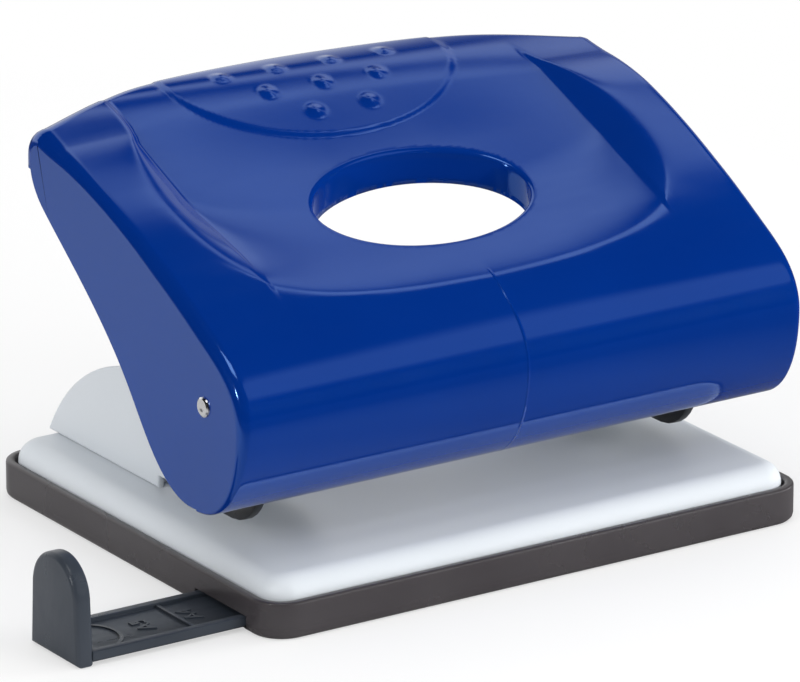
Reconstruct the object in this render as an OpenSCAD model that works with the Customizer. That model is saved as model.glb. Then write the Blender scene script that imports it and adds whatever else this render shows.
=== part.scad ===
// Two-hole desk punch: a one-piece press handle on a pressed steel base, over a clip-on chip tray
// with a pull-out paper guide. Millimetres. X runs along the handle, Y to the rear, Z up.
// The origin is the centre of the tray's underside.

/* [Punching] */
// Distance between the two punched holes
hole_spacing = 80; // [76:0.5:84]
// Diameter of a punch
punch_d = 5.5; // [5:0.1:6]
// Distance from the throat's end to the middle of a hole
hole_margin = 12; // [11:0.5:13]
// Running clearance on radius between a punch and its guides
punch_clear = 0.06; // [0.02:0.01:0.1]
// Height of the paper slot
slot_h = 2.4; // [2:0.1:3]
// Height of the punch tips above the top of the paper slot at rest
tip_lift = 0.6; // [0.3:0.1:1]

/* [Handle] */
// Length of the handle along X
handle_len = 125; // [122:0.5:134]
// Wall thickness of the handle
handle_wall = 2.5; // [2:0.1:3]
// Distance from the pivot back to the rear edge of the handle
handle_reach = 73; // [68:0.5:80]
// Rise of the handle's rear edge above the pivot
handle_rise = 39; // [36:0.5:44]
// Distance that the nose stands out in front of the pivot
nose_out = 12.8; // [11.5:0.1:15]
// Depth of the nose below the pivot
nose_drop = 20.7; // [18:0.1:21]
// How far the ends of the rear edge curve forward of its middle
rear_bow = 12; // [8:0.5:16]
// Depth of the hand recess in the top of the handle
dish_depth = 3.4; // [2:0.1:4]
// Width of the recess floor along X
dish_len = 88; // [80:1:94]
// Run of the sloped sides of the recess along X
dish_slope = 8; // [5:0.5:8]
// Length of the oval window along X
window_len = 47.5; // [36:0.5:50]
// Width of the oval window along Y
window_wid = 28.5; // [20:0.5:29]
// Depth of the collar round the window
collar_depth = 6.8; // [5:0.2:8]
// Wall thickness of the collar
collar_wall = 1.8; // [1.4:0.1:2.4]
// Diameter of a grip bump
bump_d = 5; // [4:0.2:6]
// Height of a grip bump
bump_h = 0.9; // [0.5:0.1:1.2]
// Thickness of the ribs inside the handle
rib_t = 2; // [1.5:0.1:2.4]

/* [Pivot] */
// Distance of the pivot in front of the punches
lever_arm = 26.2; // [24:0.2:28]
// Height of the pivot above the paper bed
pivot_h = 30; // [29:0.2:33]
// Diameter of the pivot rod
rod_d = 4; // [3.6:0.1:4.4]
// Running clearance on radius between the rod and the brackets
rod_clear = 0.05; // [0.02:0.01:0.1]
// Distance that the rod's ends stand proud of the handle
rod_proud = 0.5; // [0.3:0.1:0.8]
// Diameter of the pins that press on the punch heads
bar_d = 6; // [5:0.2:6.6]
// Height of the press pins' axis above the pivot
bar_rise = 9; // [7.5:0.1:10]

/* [Brackets] */
// Thickness of the bracket sheet
bracket_t = 1.5; // [1.2:0.1:1.8]
// Width over both cheeks of a bracket
bracket_w = 18; // [16:0.5:19]
// Radius of the bracket's back
bracket_r = 40; // [38:0.5:41]
// Radius of the eye round the pivot
eye_r = 6.5; // [5.5:0.1:7]
// Thickness of the web that guides the punch above the paper slot
guide_web_t = 2; // [1.6:0.1:2.4]
// Height of the upper guide web's underside above the paper bed
top_web_h = 22; // [21:0.2:23]
// Diameter of the rivet shanks
rivet_d = 3; // [2.5:0.1:3.5]
// Diameter of the rivet heads
rivet_head_d = 6; // [5:0.2:7]

/* [Base plate] */
// Height of the paper bed above the desk
bed_h = 11; // [10.5:0.1:13]
// Thickness of the pressed steel sheet
plate_t = 1.5; // [1.2:0.1:1.8]
// Corner radius of the plate in plan
plate_r = 5.5; // [4.5:0.5:8]
// Radius of the rounded edge round the paper bed
plate_edge_r = 4; // [3:0.2:4.2]
// Thickness of a die plate
die_t = 1.5; // [1.2:0.1:2]
// Width of a die plate
die_w = 14; // [12:0.5:16]

/* [Springs] */
// Wire diameter of a return spring
wire_d = 1; // [0.8:0.1:1.1]
// Number of turns of a return spring
spring_turns = 6; // [5:1:6]
// Thickness of a spring washer
washer_t = 0.8; // [0.6:0.1:1]
// Outer diameter of a spring washer
washer_d = 9.6; // [9:0.2:10.4]
// Thickness of a retaining ring
ring_t = 0.8; // [0.6:0.1:1]

/* [Chip tray] */
// Length of the tray along X
tray_len = 120; // [116:0.5:124]
// Depth of the tray along Y
tray_wid = 98.5; // [96:0.5:110]
// Height of the tray's rim above the desk
tray_h = 7.2; // [6.8:0.1:8]
// Corner radius of the tray in plan
tray_r = 6.5; // [6:0.5:9]
// Thickness of the rim outside the plate
tray_wall = 1.8; // [1.4:0.1:2.2]
// Width of the ledge that the plate stands on
ledge_w = 1.8; // [1.4:0.1:2.4]
// Height of the ledge above the desk
ledge_h = 5; // [4.8:0.1:5.4]
// Thickness of the tray's floor
floor_t = 1.2; // [1:0.1:1.6]
// Clearance between the plate and the rim
plate_clear = 0.2; // [0.1:0.05:0.4]

/* [Paper guide] */
// Width of the guide strip
guide_w = 17; // [14:0.5:19]
// Thickness of the guide strip
guide_t = 2.6; // [2.2:0.1:3]
// Length of the guide strip
guide_len = 116; // [105:1:120]
// Distance that the stop stands out of the tray as drawn
guide_out = 35.5; // [20:0.5:45]
// Height of the paper stop
stop_h = 21; // [15:0.5:24]
// Thickness of the paper stop
stop_t = 4; // [3:0.2:5]
// Distance of the strip's middle behind the tray's front edge
guide_inset = 17; // [15:0.5:20]
// Gap round the strip in its channel
guide_clear = 0.3; // [0.2:0.05:0.4]
// Thickness of the lips that carry the strip
lip_t = 0.8; // [0.6:0.1:1]
// Width of the lips that carry the strip
lip_w = 1.2; // [1:0.1:1.5]

/* [Hidden] */
$fn = 64;
// Overrun of a cutting tool past the face that it opens
over = 1;
// Gap between pieces that meet but move apart
seat_gap = 0.3;

// Punches and the points that they fix
punch_x = hole_spacing / 2;
punch_r = punch_d / 2;
punch_y = -4.8;
throat_y = punch_y + hole_margin;
slot_top = bed_h + slot_h;
pivot_y = punch_y - lever_arm;
pivot_z = bed_h + pivot_h;
rod_r = rod_d / 2;
bar_r = bar_d / 2;
bar_z = pivot_z + bar_rise;

// Bracket
cheek_out = punch_x + bracket_w / 2;
cheek_in = punch_x - bracket_w / 2;
web_top = slot_top + guide_web_t;
upper_web = bed_h + top_web_h;
back_y = throat_y + 4.8;
back_z = bed_h - bracket_r * 0.475;
foot_front = throat_y + 2;
foot_rear = back_y + sqrt(pow(bracket_r, 2) - pow(bed_h + bracket_t - back_z, 2)) - 1;
rivet_ys = [throat_y + bracket_r / 4, throat_y + bracket_r * 0.75];
rivet_head_h = 1.6;
rivet_r = rivet_d / 2;

// Punch, ring, washer and spring stack
ring_top = upper_web - seat_gap;
ring_z = ring_top - ring_t;
washer_z = ring_z - washer_t;
tip_z = slot_top + tip_lift;
head_top = bar_z - bar_r - seat_gap;
head_t = 3;
head_r = punch_r + 1.5;
groove_r = punch_r - 0.6;
spring_r = punch_r + 0.5 + wire_d / 2;
spring_len = washer_z - web_top;

// Handle
half_len = handle_len / 2;
end_cap = 2.2;
end_r = 5.5;
crown_r = 1100;
rear_y = pivot_y + handle_reach;
bow_r = (pow(half_len, 2) + pow(rear_bow, 2)) / (2 * rear_bow);
side_rib_x = cheek_out + 0.8;
pin_half = bracket_w / 2 - bracket_t - 0.7;
dish_tilt = 21.2;
dish_y = pivot_y - 2;
dish_z = pivot_z + handle_rise * 0.38 + 3.1 - dish_depth;
dish_run = 68;
dish_bow = 24;
window_y = punch_y - 4.6;
bump_pitch = [12.2, 7.2];
bump_rows = 3;
bump_first_y = throat_y + 11.6;

// Tray, plate and guide
plate_len = tray_len - 2 * (tray_wall + plate_clear);
plate_wid = tray_wid - 2 * (tray_wall + plate_clear);
hole_gap = 0.4;
guide_y = guide_inset - tray_wid / 2 + 0.2;
guide_z = 0.2;
guide_top = guide_z + guide_t;
channel_roof = 1;
channel_end = tray_len / 2 - 5;
channel_half = guide_w / 2 + guide_clear;
stop_x = -tray_len / 2 - guide_out;

// Points of a cubic curve, without its last point
function curve(a, b, c, d, n = 10) = [
    for (i = [0 : n - 1]) let (t = i / n, s = 1 - t)
        s * s * s * a + 3 * s * s * t * b + 3 * s * t * t * c + t * t * t * d
];
// Outline points moved square to the outline by d
function moved(pts, d) = [
    for (i = [1 : len(pts) - 2]) let (v = pts[i + 1] - pts[i - 1])
        pts[i] + d * [v[1], -v[0]] / norm(v)
];
// Points of an oval with fuller corners than an ellipse
function oval(l, w, n = 56) = [
    for (i = [0 : n - 1]) let (a = 360 * i / n, c = cos(a), s = sin(a))
        [l / 2 * sign(c) * pow(abs(c), 0.9), w / 2 * sign(s) * pow(abs(s), 0.9)]
];

// Top of the handle from the nose's front to the rear edge, about the pivot
nose_tip = [-nose_out, -1];
shoulder = [0, handle_rise * 0.38];
back_top = [handle_reach * 0.7, handle_rise * 0.923];
rear_tip = [handle_reach - 1, handle_rise - 0.5];
top_line = concat(
    curve(nose_tip, nose_tip + [0, 7], shoulder + [-6.3, -4], shoulder),
    curve(shoulder, shoulder + [11, 7.4], back_top + [-16, -3], back_top),
    curve(back_top, back_top + [7, 1.6], rear_tip + [-7, 1.8], rear_tip)
);
// Edge of the end walls from the rear edge round to the nose's front, about the pivot
heel = [handle_reach - 11.5, handle_rise - 11];
waist = [lever_arm + 0.3, -3.5];
chin = [3, -nose_drop];
low_line = concat(
    curve(rear_tip + [1, -3], rear_tip + [0, -5.5], heel + [4, 3], heel, 5),
    curve(heel, heel + [-3.5, -6], waist + [11.5, 14.5], waist),
    curve(waist, waist + [-6.5, -8], chin + [12, 0.3], chin),
    curve(chin, chin + [-8.5, -0.1], nose_tip + [0.2, -8], nose_tip, 8)
);
// Inside of the shell, closed below by points well clear of it
shell_line = concat(
    curve(chin + [0, 1], chin + [-8.5, 0.9], nose_tip + [0.2, -8], nose_tip, 8), top_line, [rear_tip]
);

// A rectangle of size l by w with corners of radius r, centred
module rounded(l, w, r) {
    translate([r - l / 2, -w / 2]) square([l - 2 * r, w]);
    translate([-l / 2, r - w / 2]) square([l, w - 2 * r]);
    for (x = [-1, 1], y = [-1, 1])
        translate([x * (l / 2 - r), y * (w / 2 - r)]) circle(r);
}

// A prism along X from x0 to x1 over an outline in Y and Z
module along_x(x0, x1) {
    translate([x0, 0, 0]) rotate([90, 0, 90]) linear_extrude(x1 - x0) children();
}

// A round bar along X from x0 to x1 through y, z
module rod_x(x0, x1, y, z, r) {
    translate([x0, y, z]) rotate([0, 90, 0]) cylinder(h = x1 - x0, r = r);
}

// ---- Chip tray ----
module channel_outline() {
    translate([guide_y - channel_half, lip_t]) square([2 * channel_half, guide_top + guide_clear - lip_t]);
    translate([guide_y - channel_half + lip_w, -over])
        square([2 * (channel_half - lip_w), lip_t + 2 * over]);
}

module chip_tray() color("dimgray", 0.85) {
    foot = 1.2;
    roof_z = guide_top + guide_clear + channel_roof;
    difference() {
        union() {
            difference() {
                hull($fn = 32) {
                    linear_extrude(0.1) rounded(tray_len - 2 * foot, tray_wid - 2 * foot, tray_r - foot);
                    translate([0, 0, foot]) linear_extrude(tray_h - foot) rounded(tray_len, tray_wid, tray_r);
                }
                translate([0, 0, ledge_h]) linear_extrude(tray_h)
                    rounded(tray_len - 2 * tray_wall, tray_wid - 2 * tray_wall, tray_r - tray_wall);
                translate([0, 0, floor_t]) linear_extrude(tray_h)
                    rounded(
                        tray_len - 2 * (tray_wall + ledge_w), tray_wid - 2 * (tray_wall + ledge_w),
                        tray_r - tray_wall - ledge_w
                    );
            }
            along_x(-tray_len / 2 + tray_wall, channel_end + channel_roof)
                translate([guide_y - channel_half - channel_roof, floor_t / 2])
                    square([2 * (channel_half + channel_roof), roof_z - floor_t / 2]);
        }
        along_x(-tray_len / 2 - over, channel_end) channel_outline();
    }
}

// ---- Paper guide ----
module paper_guide() color("slategray") {
    slot_w = guide_w - 2 * (lip_w + guide_clear);
    recess = 0.8;
    border = 1.8;
    thumb_r = 9;
    tick_x = stop_x + guide_out * 0.72;
    difference() {
        union() {
            // Strip, stepped along its lower edges for the tray's lips
            along_x(stop_x + stop_t / 2, stop_x + guide_len) {
                translate([guide_y - guide_w / 2, lip_t + guide_clear])
                    square([guide_w, guide_top - lip_t - guide_clear]);
                translate([guide_y - slot_w / 2, guide_z]) square([slot_w, guide_t]);
            }
            // Foot of the stop, and the stop with its round top
            along_x(stop_x, stop_x + stop_t) translate([guide_y - guide_w / 2, guide_z]) {
                square([guide_w, stop_h - guide_w / 2]);
                translate([guide_w / 2, stop_h - guide_w / 2]) circle(guide_w / 2);
            }
        }
        // Shallow recess along the top of the strip
        translate([stop_x + stop_t + border, guide_y - guide_w / 2 + border, guide_top - recess])
            cube([guide_len - stop_t - 2 * border, guide_w - 2 * border, over + recess]);
        // Groove of the thumb grip
        translate([stop_x + stop_t + 3, guide_y, guide_top - recess - 0.4])
            difference() {
                cylinder(h = over + recess, r = thumb_r - border);
                translate([0, 0, -over]) cylinder(h = 4 * over, r = thumb_r - border - 0.8);
                translate([-2 * thumb_r, -thumb_r, -over]) cube([2 * thumb_r, 2 * thumb_r, 4 * over]);
            }
    }
    // Raised index line across the strip
    translate([tick_x, guide_y - guide_w / 2 + border - 0.2, guide_top - recess - 0.1])
        cube([0.8, guide_w - 2 * border + 0.4, 0.6]);
}

// ---- Base plate ----
// The plate's outer form, or its hollow when inset
module plate_form(inset, top) {
    r = plate_r - inset;
    e = plate_edge_r - inset;
    hull()
        for (x = [-1, 1], y = [-1, 1])
            translate([x * (plate_len / 2 - inset - r), y * (plate_wid / 2 - inset - r), 0])
                rotate_extrude($fn = 32) {
                    translate([0, ledge_h]) square([r, top - e - ledge_h]);
                    translate([r - e, top - e]) intersection() {
                        circle(e);
                        square(e);
                    }
                    translate([0, ledge_h]) square([r - e + 0.01, top - ledge_h]);
                }
}

module base_plate() color("lightgray") {
    difference() {
        plate_form(0, bed_h);
        translate([0, 0, -over]) plate_form(plate_t, bed_h - plate_t + over);
        for (x = [-punch_x, punch_x]) {
            translate([x, punch_y, ledge_h]) cylinder(h = bed_h, r = punch_r + hole_gap);
            for (y = rivet_ys)
                translate([x, y, ledge_h]) cylinder(h = bed_h, r = rivet_r);
        }
    }
}

module die_plate(x) color("silver") {
    front = punch_y - die_w / 2;
    rear = rivet_ys[0] + rivet_head_d / 2 + 1;
    die_z = bed_h - plate_t - die_t;
    difference() {
        translate([x - die_w / 2, front, die_z]) cube([die_w, rear - front, die_t]);
        translate([x, punch_y, die_z - over]) cylinder(h = die_t + 2 * over, r = punch_r + punch_clear);
        translate([x, rivet_ys[0], die_z - over]) cylinder(h = die_t + 2 * over, r = rivet_r);
    }
}

// ---- Punch brackets ----
// Side view of a cheek: round back, jaw over the paper slot, arm up to the pivot's eye
module cheek_outline() {
    intersection() {
        translate([back_y, back_z]) circle(bracket_r, $fn = 128);
        union() {
            translate([throat_y, bed_h]) square([bracket_r * 2, bracket_r]);
            translate([punch_y - 6, slot_top]) square([bracket_r * 2, bracket_r]);
        }
    }
    translate([pivot_y, pivot_z]) circle(eye_r);
    polygon([
        [pivot_y + 0.35 * eye_r, pivot_z + 0.936 * eye_r],
        [pivot_y - 0.9 * eye_r, pivot_z - 0.43 * eye_r],
        [pivot_y + 3.2, slot_top + 6.5],
        [pivot_y + 4.6, slot_top + 3.2],
        [pivot_y + 7.6, slot_top + 0.9],
        [punch_y - 14, slot_top],
        [punch_y + 6, slot_top],
        [back_y, back_z + bracket_r - 2],
        [back_y + 0.3 * bracket_r, back_z + 0.95 * bracket_r]
    ]);
}

module punch_bracket(side) color("lightgray") {
    x = side * punch_x;
    inner = bracket_w / 2 - bracket_t;
    difference() {
        union() {
            for (s = [-1, 1])
                along_x(x + s * (bracket_w - bracket_t) / 2 - bracket_t / 2,
                        x + s * (bracket_w - bracket_t) / 2 + bracket_t / 2)
                    cheek_outline();
            // Foot on the base plate
            translate([x - inner - 0.1, foot_front, bed_h])
                cube([2 * inner + 0.2, foot_rear - foot_front, bracket_t]);
            // Lower guide web over the paper slot
            translate([x - inner - 0.1, punch_y - bracket_w / 2, slot_top])
                cube([2 * inner + 0.2, bracket_w, guide_web_t]);
            // Upper guide web
            translate([x - inner - 0.1, punch_y - 7, upper_web])
                cube([2 * inner + 0.2, 14, bracket_t]);
        }
        translate([x, punch_y, bed_h]) cylinder(h = bracket_r + pivot_h, r = punch_r + punch_clear);
        for (y = rivet_ys)
            translate([x, y, bed_h - over]) cylinder(h = bracket_t + 2 * over, r = rivet_r);
        rod_x(x - bracket_w, x + bracket_w, pivot_y, pivot_z, rod_r + rod_clear);
    }
}

module rivet(x, y, grip) {
    low = bed_h + bracket_t - grip;
    head_r = rivet_head_d / 2;
    translate([x, y, low]) cylinder(h = grip, r = rivet_r);
    translate([x, y, bed_h + bracket_t]) rotate_extrude() intersection() {
        square([head_r, rivet_head_h]);
        translate([0, rivet_head_h - 2 * head_r]) circle(2 * head_r);
    }
    translate([x, y, low - rivet_head_h / 2]) cylinder(h = rivet_head_h / 2, r = rivet_r + 1);
}

module bracket_rivets() color("gainsboro")
    for (x = [-punch_x, punch_x]) {
        rivet(x, rivet_ys[0], bracket_t + plate_t + die_t);
        rivet(x, rivet_ys[1], bracket_t + plate_t);
    }

// ---- Punches ----
module punch_pin(x) color("silver") translate([x, punch_y, 0]) {
    hollow_r = punch_r * 1.25;
    difference() {
        union() {
            translate([0, 0, tip_z]) cylinder(h = head_top - head_t - tip_z + 0.1, r = punch_r);
            translate([0, 0, head_top - head_t]) rotate_extrude() intersection() {
                square([head_r, head_t]);
                translate([0, head_t - 4 * head_r]) circle(4 * head_r);
            }
        }
        // Hollow ground tip with two cutting points
        translate([-punch_d, 0, tip_z - hollow_r * 0.6]) rotate([0, 90, 0])
            cylinder(h = 2 * punch_d, r = hollow_r);
        translate([0, 0, ring_z]) difference() {
            cylinder(h = ring_t, r = punch_d);
            translate([0, 0, -over]) cylinder(h = ring_t + 2 * over, r = groove_r);
        }
    }
}

module retaining_ring(x) color("dimgray") translate([x, punch_y, ring_z])
    difference() {
        cylinder(h = ring_t, r = head_r);
        translate([0, 0, -over]) cylinder(h = ring_t + 2 * over, r = groove_r);
        translate([-0.85 * groove_r, -2 * head_r, -over]) cube([1.7 * groove_r, 2 * head_r, ring_t + 2 * over]);
    }

module spring_washer(x) color("silver") translate([x, punch_y, washer_z])
    difference() {
        cylinder(h = washer_t, r = washer_d / 2);
        translate([0, 0, -over]) cylinder(h = washer_t + 2 * over, r = punch_r + 0.1);
    }

// Height of a coil's wire at share t of its length, with the first and last turns lying nearly flat
function coil_height(t, rise) = let (e = 1 / spring_turns)
    t < e ? wire_d * t / e :
    t > 1 - e ? rise - wire_d * (1 - t) / e :
    wire_d + (rise - 2 * wire_d) * (t - e) / (1 - 2 * e);

// A coil of round wire with closed ends, swept as rings of six points
module return_spring(x) {
    sides = 6;
    per_turn = 14;
    rings = spring_turns * per_turn;
    wr = wire_d / 2;
    rise = spring_len - wire_d;
    points = [
        for (i = [0 : rings], k = [0 : sides - 1])
            let (a = 360 * i / per_turn, b = 360 * k / sides, r = spring_r + wr * cos(b))
            [r * cos(a), r * sin(a), wr + coil_height(i / rings, rise) + wr * 0.98 * sin(b)]
    ];
    faces = concat(
        [[for (k = [0 : sides - 1]) k]],
        [for (i = [0 : rings - 1], k = [0 : sides - 1]) let (n = (k + 1) % sides)
            [i * sides + k, (i + 1) * sides + k, (i + 1) * sides + n, i * sides + n]],
        [[for (k = [sides - 1 : -1 : 0]) rings * sides + k]]
    );
    color("silver") translate([x, punch_y, web_top]) polyhedron(points, faces);
}

// ---- Handle ----
module about_pivot() translate([pivot_y, pivot_z]) children();

// Plan of the handle with its bowed rear edge, grown or shrunk by d
module handle_plan(d) {
    intersection() {
        translate([-half_len - d, pivot_y - 2 * nose_out]) square([handle_len + 2 * d, 2 * handle_reach]);
        translate([0, rear_y - bow_r]) circle(bow_r + d, $fn = 256);
    }
}

// One rounded end of the handle, from the middle outwards
module handle_end(side) {
    steps = [[0, 1], [end_cap * 0.6, 0.985], [end_cap, 0.955]];
    mid = [handle_reach / 4, handle_rise * 0.31];
    mirror([side < 0 ? 1 : 0, 0, 0])
        for (i = [0 : 1])
            translate([half_len - end_cap + steps[i][0], pivot_y + mid[0], pivot_z + mid[1]])
                rotate([90, 0, 90])
                    linear_extrude(steps[i + 1][0] - steps[i][0], scale = steps[i + 1][1] / steps[i][1])
                        scale(steps[i][1]) translate(-mid) polygon(concat(top_line, low_line));
}

// Block with the handle's outer form
module handle_block() {
    intersection() {
        union() {
            along_x(end_cap - half_len, half_len - end_cap) about_pivot()
                polygon(concat(top_line, low_line));
            for (side = [-1, 1]) handle_end(side);
        }
        linear_extrude(pivot_z + 2 * handle_rise) handle_plan(0);
        // Slight crown along X, with well rounded ends
        translate([0, rear_y + over, 0]) rotate([90, 0, 0]) linear_extrude(handle_reach + 2 * nose_out)
            intersection() {
                rounded(handle_len, 2 * (pivot_z + handle_rise), end_r);
                translate([0, pivot_z + handle_rise - crown_r]) circle(crown_r, $fn = 360);
            }
    }
}

// Hollow of the handle between its end walls
module handle_hollow() {
    inner = moved(shell_line, handle_wall);
    last = inner[len(inner) - 1];
    intersection() {
        along_x(handle_wall + 0.4 - half_len, half_len - handle_wall - 0.4) about_pivot()
            polygon(concat(inner, [[last[0] + handle_reach, last[1]], [last[0] + handle_reach, -2 * nose_drop],
                                   [inner[0][0], -2 * nose_drop]]));
        linear_extrude(pivot_z + 2 * handle_rise) handle_plan(-handle_wall);
    }
}

// Hand recess: a flat tilted floor with sloped sides, sunk in the convex top and open at the rear
module dish_outline(grow) {
    half = dish_len / 2 + grow;
    polygon(concat(
        [[half, dish_run], [-half, dish_run]],
        [for (a = [180 : 7.5 : 360]) let (c = cos(a))
            [half * sign(c) * pow(abs(c), 0.75), dish_bow * (1 - pow(abs(sin(a)), 0.75)) - grow / 3]]
    ));
}

module dish_cut() {
    rise = 5;
    translate([0, dish_y, dish_z]) rotate([dish_tilt, 0, 0]) hull() {
        linear_extrude(0.01) dish_outline(0);
        translate([0, 0, rise]) linear_extrude(0.01) dish_outline(dish_slope * rise / dish_depth);
    }
}

// Oval column of the window
module window_column(grow) {
    translate([0, window_y, 0]) linear_extrude(pivot_z + 2 * handle_rise)
        polygon(oval(window_len + 2 * grow, window_wid + 2 * grow));
}

// Height of the handle's top along its middle at y
function top_z(y) = min(
    dish_z + (y - dish_y) * tan(dish_tilt),
    pivot_z + lookup(y - pivot_y, top_line)
);

// Ribs that steady the handle beside a bracket, or carry a press pin between its cheeks
module side_rib(x) {
    intersection() {
        along_x(x, x + rib_t) translate([pivot_y - nose_out, pivot_z - eye_r])
            square([nose_out + eye_r, handle_rise]);
        handle_block();
    }
}

module pin_rib(x) {
    intersection() {
        along_x(x, x + rib_t) difference() {
            translate([punch_y - bar_r - 2.2, bar_z - bar_r * 0.6]) square([bar_d + 4.4, handle_rise]);
            // Snap mouth of the pin's seat
            translate([punch_y - bar_r * 0.9, bar_z - bar_r]) square([bar_r * 1.8, bar_r]);
        }
        handle_block();
    }
}

module grip_bumps() {
    sphere_r = (pow(bump_d / 2, 2) + pow(bump_h, 2)) / (2 * bump_h);
    for (row = [0 : bump_rows - 1], i = [0 : row + 1])
        let (y = bump_first_y + row * bump_pitch[1], x = (i - (row + 1) / 2) * bump_pitch[0])
            translate([x, y, top_z(y) + bump_h - sphere_r])
                sphere(sphere_r, $fn = 48);
}

module handle_shell() color("royalblue") {
    difference() {
        union() {
            difference() {
                union() {
                    difference() {
                        handle_block();
                        handle_hollow();
                    }
                    // Floor of the recess, where it would break through the shell
                    intersection() {
                        handle_hollow();
                        translate([0, 0, -handle_wall]) dish_cut();
                    }
                    // Collar of the window
                    intersection() {
                        handle_hollow();
                        window_column(collar_wall);
                        translate([0, 0, -collar_depth]) dish_cut();
                    }
                    for (side = [-1, 1]) {
                        side_rib(side * (side_rib_x + rib_t / 2) - rib_t / 2);
                        for (k = [-1, 1])
                            pin_rib(side * punch_x + k * (pin_half - rib_t / 2) - rib_t / 2);
                    }
                }
                dish_cut();
                window_column(0);
            }
            difference() {
                grip_bumps();
                handle_hollow();
            }
        }
        rod_x(-half_len - over, half_len + over, pivot_y, pivot_z, rod_r);
        for (x = [-punch_x, punch_x])
            rod_x(x - pin_half - over, x + pin_half + over, punch_y, bar_z, bar_r);
    }
}

// ---- Rods ----
module pivot_rod() color("whitesmoke") {
    end = half_len + rod_proud;
    groove = [cheek_in - seat_gap - ring_t, cheek_in - seat_gap];
    difference() {
        union() {
            rod_x(-end + 0.5, end - 0.5, pivot_y, pivot_z, rod_r);
            for (side = [-1, 1])
                translate([side * (end - 0.5), pivot_y, pivot_z]) rotate([0, side * 90, 0])
                    cylinder(h = 0.5, r1 = rod_r, r2 = rod_r - 0.5);
        }
        for (side = [-1, 1])
            difference() {
                rod_x(side > 0 ? groove[0] : -groove[1], side > 0 ? groove[1] : -groove[0],
                      pivot_y, pivot_z, rod_d);
                rod_x(-end, end, pivot_y, pivot_z, rod_r - 0.5);
            }
    }
}

module rod_clips() color("dimgray")
    for (side = [-1, 1])
        translate([side * (cheek_in - seat_gap - ring_t / 2), pivot_y, pivot_z]) rotate([0, 90, 0])
            difference() {
                cylinder(h = ring_t, r = rod_r * 1.9, center = true);
                cylinder(h = ring_t + 2 * over, r = rod_r - 0.5, center = true);
                translate([0, -(rod_r - 0.5) * 0.85, -over])
                    cube([2 * rod_d, (rod_r - 0.5) * 1.7, 2 * over]);
            }

module press_pin(x) color("silver")
    rod_x(x - pin_half, x + pin_half, punch_y, bar_z, bar_r);

chip_tray();
paper_guide();
base_plate();
die_plate(-punch_x);  // left_die_plate
die_plate(punch_x);  // right_die_plate
punch_bracket(-1);  // left_punch_bracket
punch_bracket(1);  // right_punch_bracket
bracket_rivets();
return_spring(-punch_x);  // left_return_spring
return_spring(punch_x);  // right_return_spring
punch_pin(-punch_x);  // left_punch_pin
punch_pin(punch_x);  // right_punch_pin
retaining_ring(-punch_x);  // left_retaining_ring
retaining_ring(punch_x);  // right_retaining_ring
spring_washer(-punch_x);  // left_spring_washer
spring_washer(punch_x);  // right_spring_washer
handle_shell();
pivot_rod();
rod_clips();
press_pin(-punch_x);  // left_press_pin
press_pin(punch_x);  // right_press_pin
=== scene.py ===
"""Studio scene of a two-hole desk punch.

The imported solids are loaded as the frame. Each class below holds the sizes of one
sub-assembly in millimetres, builds its shaped pieces, and dresses the solids that stay.
"""

import logging
import math
from dataclasses import dataclass
from enum import Enum

import bmesh
import bpy
import numpy as np
from bmesh.types import BMEdge, BMEdgeSeq, BMesh, BMFace, BMFaceSeq, BMVert
from bpy.types import ID, Material, Mesh, Object
from mathutils import Matrix, Vector


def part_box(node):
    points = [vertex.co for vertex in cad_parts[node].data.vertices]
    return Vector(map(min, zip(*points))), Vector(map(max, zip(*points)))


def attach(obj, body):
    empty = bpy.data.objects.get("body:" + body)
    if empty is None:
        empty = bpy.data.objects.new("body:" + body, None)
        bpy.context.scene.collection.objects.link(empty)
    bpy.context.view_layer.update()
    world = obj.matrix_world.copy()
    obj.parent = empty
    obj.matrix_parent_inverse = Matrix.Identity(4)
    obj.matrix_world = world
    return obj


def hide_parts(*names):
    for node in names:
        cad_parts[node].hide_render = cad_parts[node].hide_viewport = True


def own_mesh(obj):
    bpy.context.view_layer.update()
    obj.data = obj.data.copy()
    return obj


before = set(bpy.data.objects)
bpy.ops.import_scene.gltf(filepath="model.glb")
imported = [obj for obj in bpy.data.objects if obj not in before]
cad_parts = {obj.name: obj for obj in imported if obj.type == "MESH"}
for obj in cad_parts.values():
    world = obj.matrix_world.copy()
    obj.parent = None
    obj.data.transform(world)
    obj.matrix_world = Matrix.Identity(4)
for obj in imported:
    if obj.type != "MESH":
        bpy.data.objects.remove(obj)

MM = 0.001
SHARP_ANGLE = 35.0
NEAR = 1e-4
WHITE = (1.0, 1.0, 1.0, 1.0)
Point = tuple[float, float]
Solid = tuple[float, float, float]
Socket = bpy.types.NodeSocket

log = logging.getLogger("desk_punch")


class Body(Enum):
    """Bodies of the model that pieces ride on."""

    TRAY = "tray"
    GUIDE = "guide"
    BASE = "base_frame"
    HANDLE = "handle"


class Side(Enum):
    """The two ends of the punch along X."""

    LEFT = -1
    RIGHT = 1

    @property
    def word(self) -> str:
        """Name of the side as used in the names of pieces."""
        return self.name.lower()


def cubic(a: Point, b: Point, c: Point, d: Point, steps: int) -> list[Point]:
    """Points along a cubic curve.

    Args:
        a: Start of the curve.
        b: First handle.
        c: Second handle.
        d: End of the curve.
        steps: Number of points, without the end.

    Returns:
        The points from a up to, but not including, d.
    """
    points = []
    for i in range(steps):
        t = i / steps
        s = 1 - t
        points.append(tuple(
            s**3 * a[k] + 3 * s * s * t * b[k] + 3 * s * t * t * c[k] + t**3 * d[k] for k in (0, 1)
        ))
    return points


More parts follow.
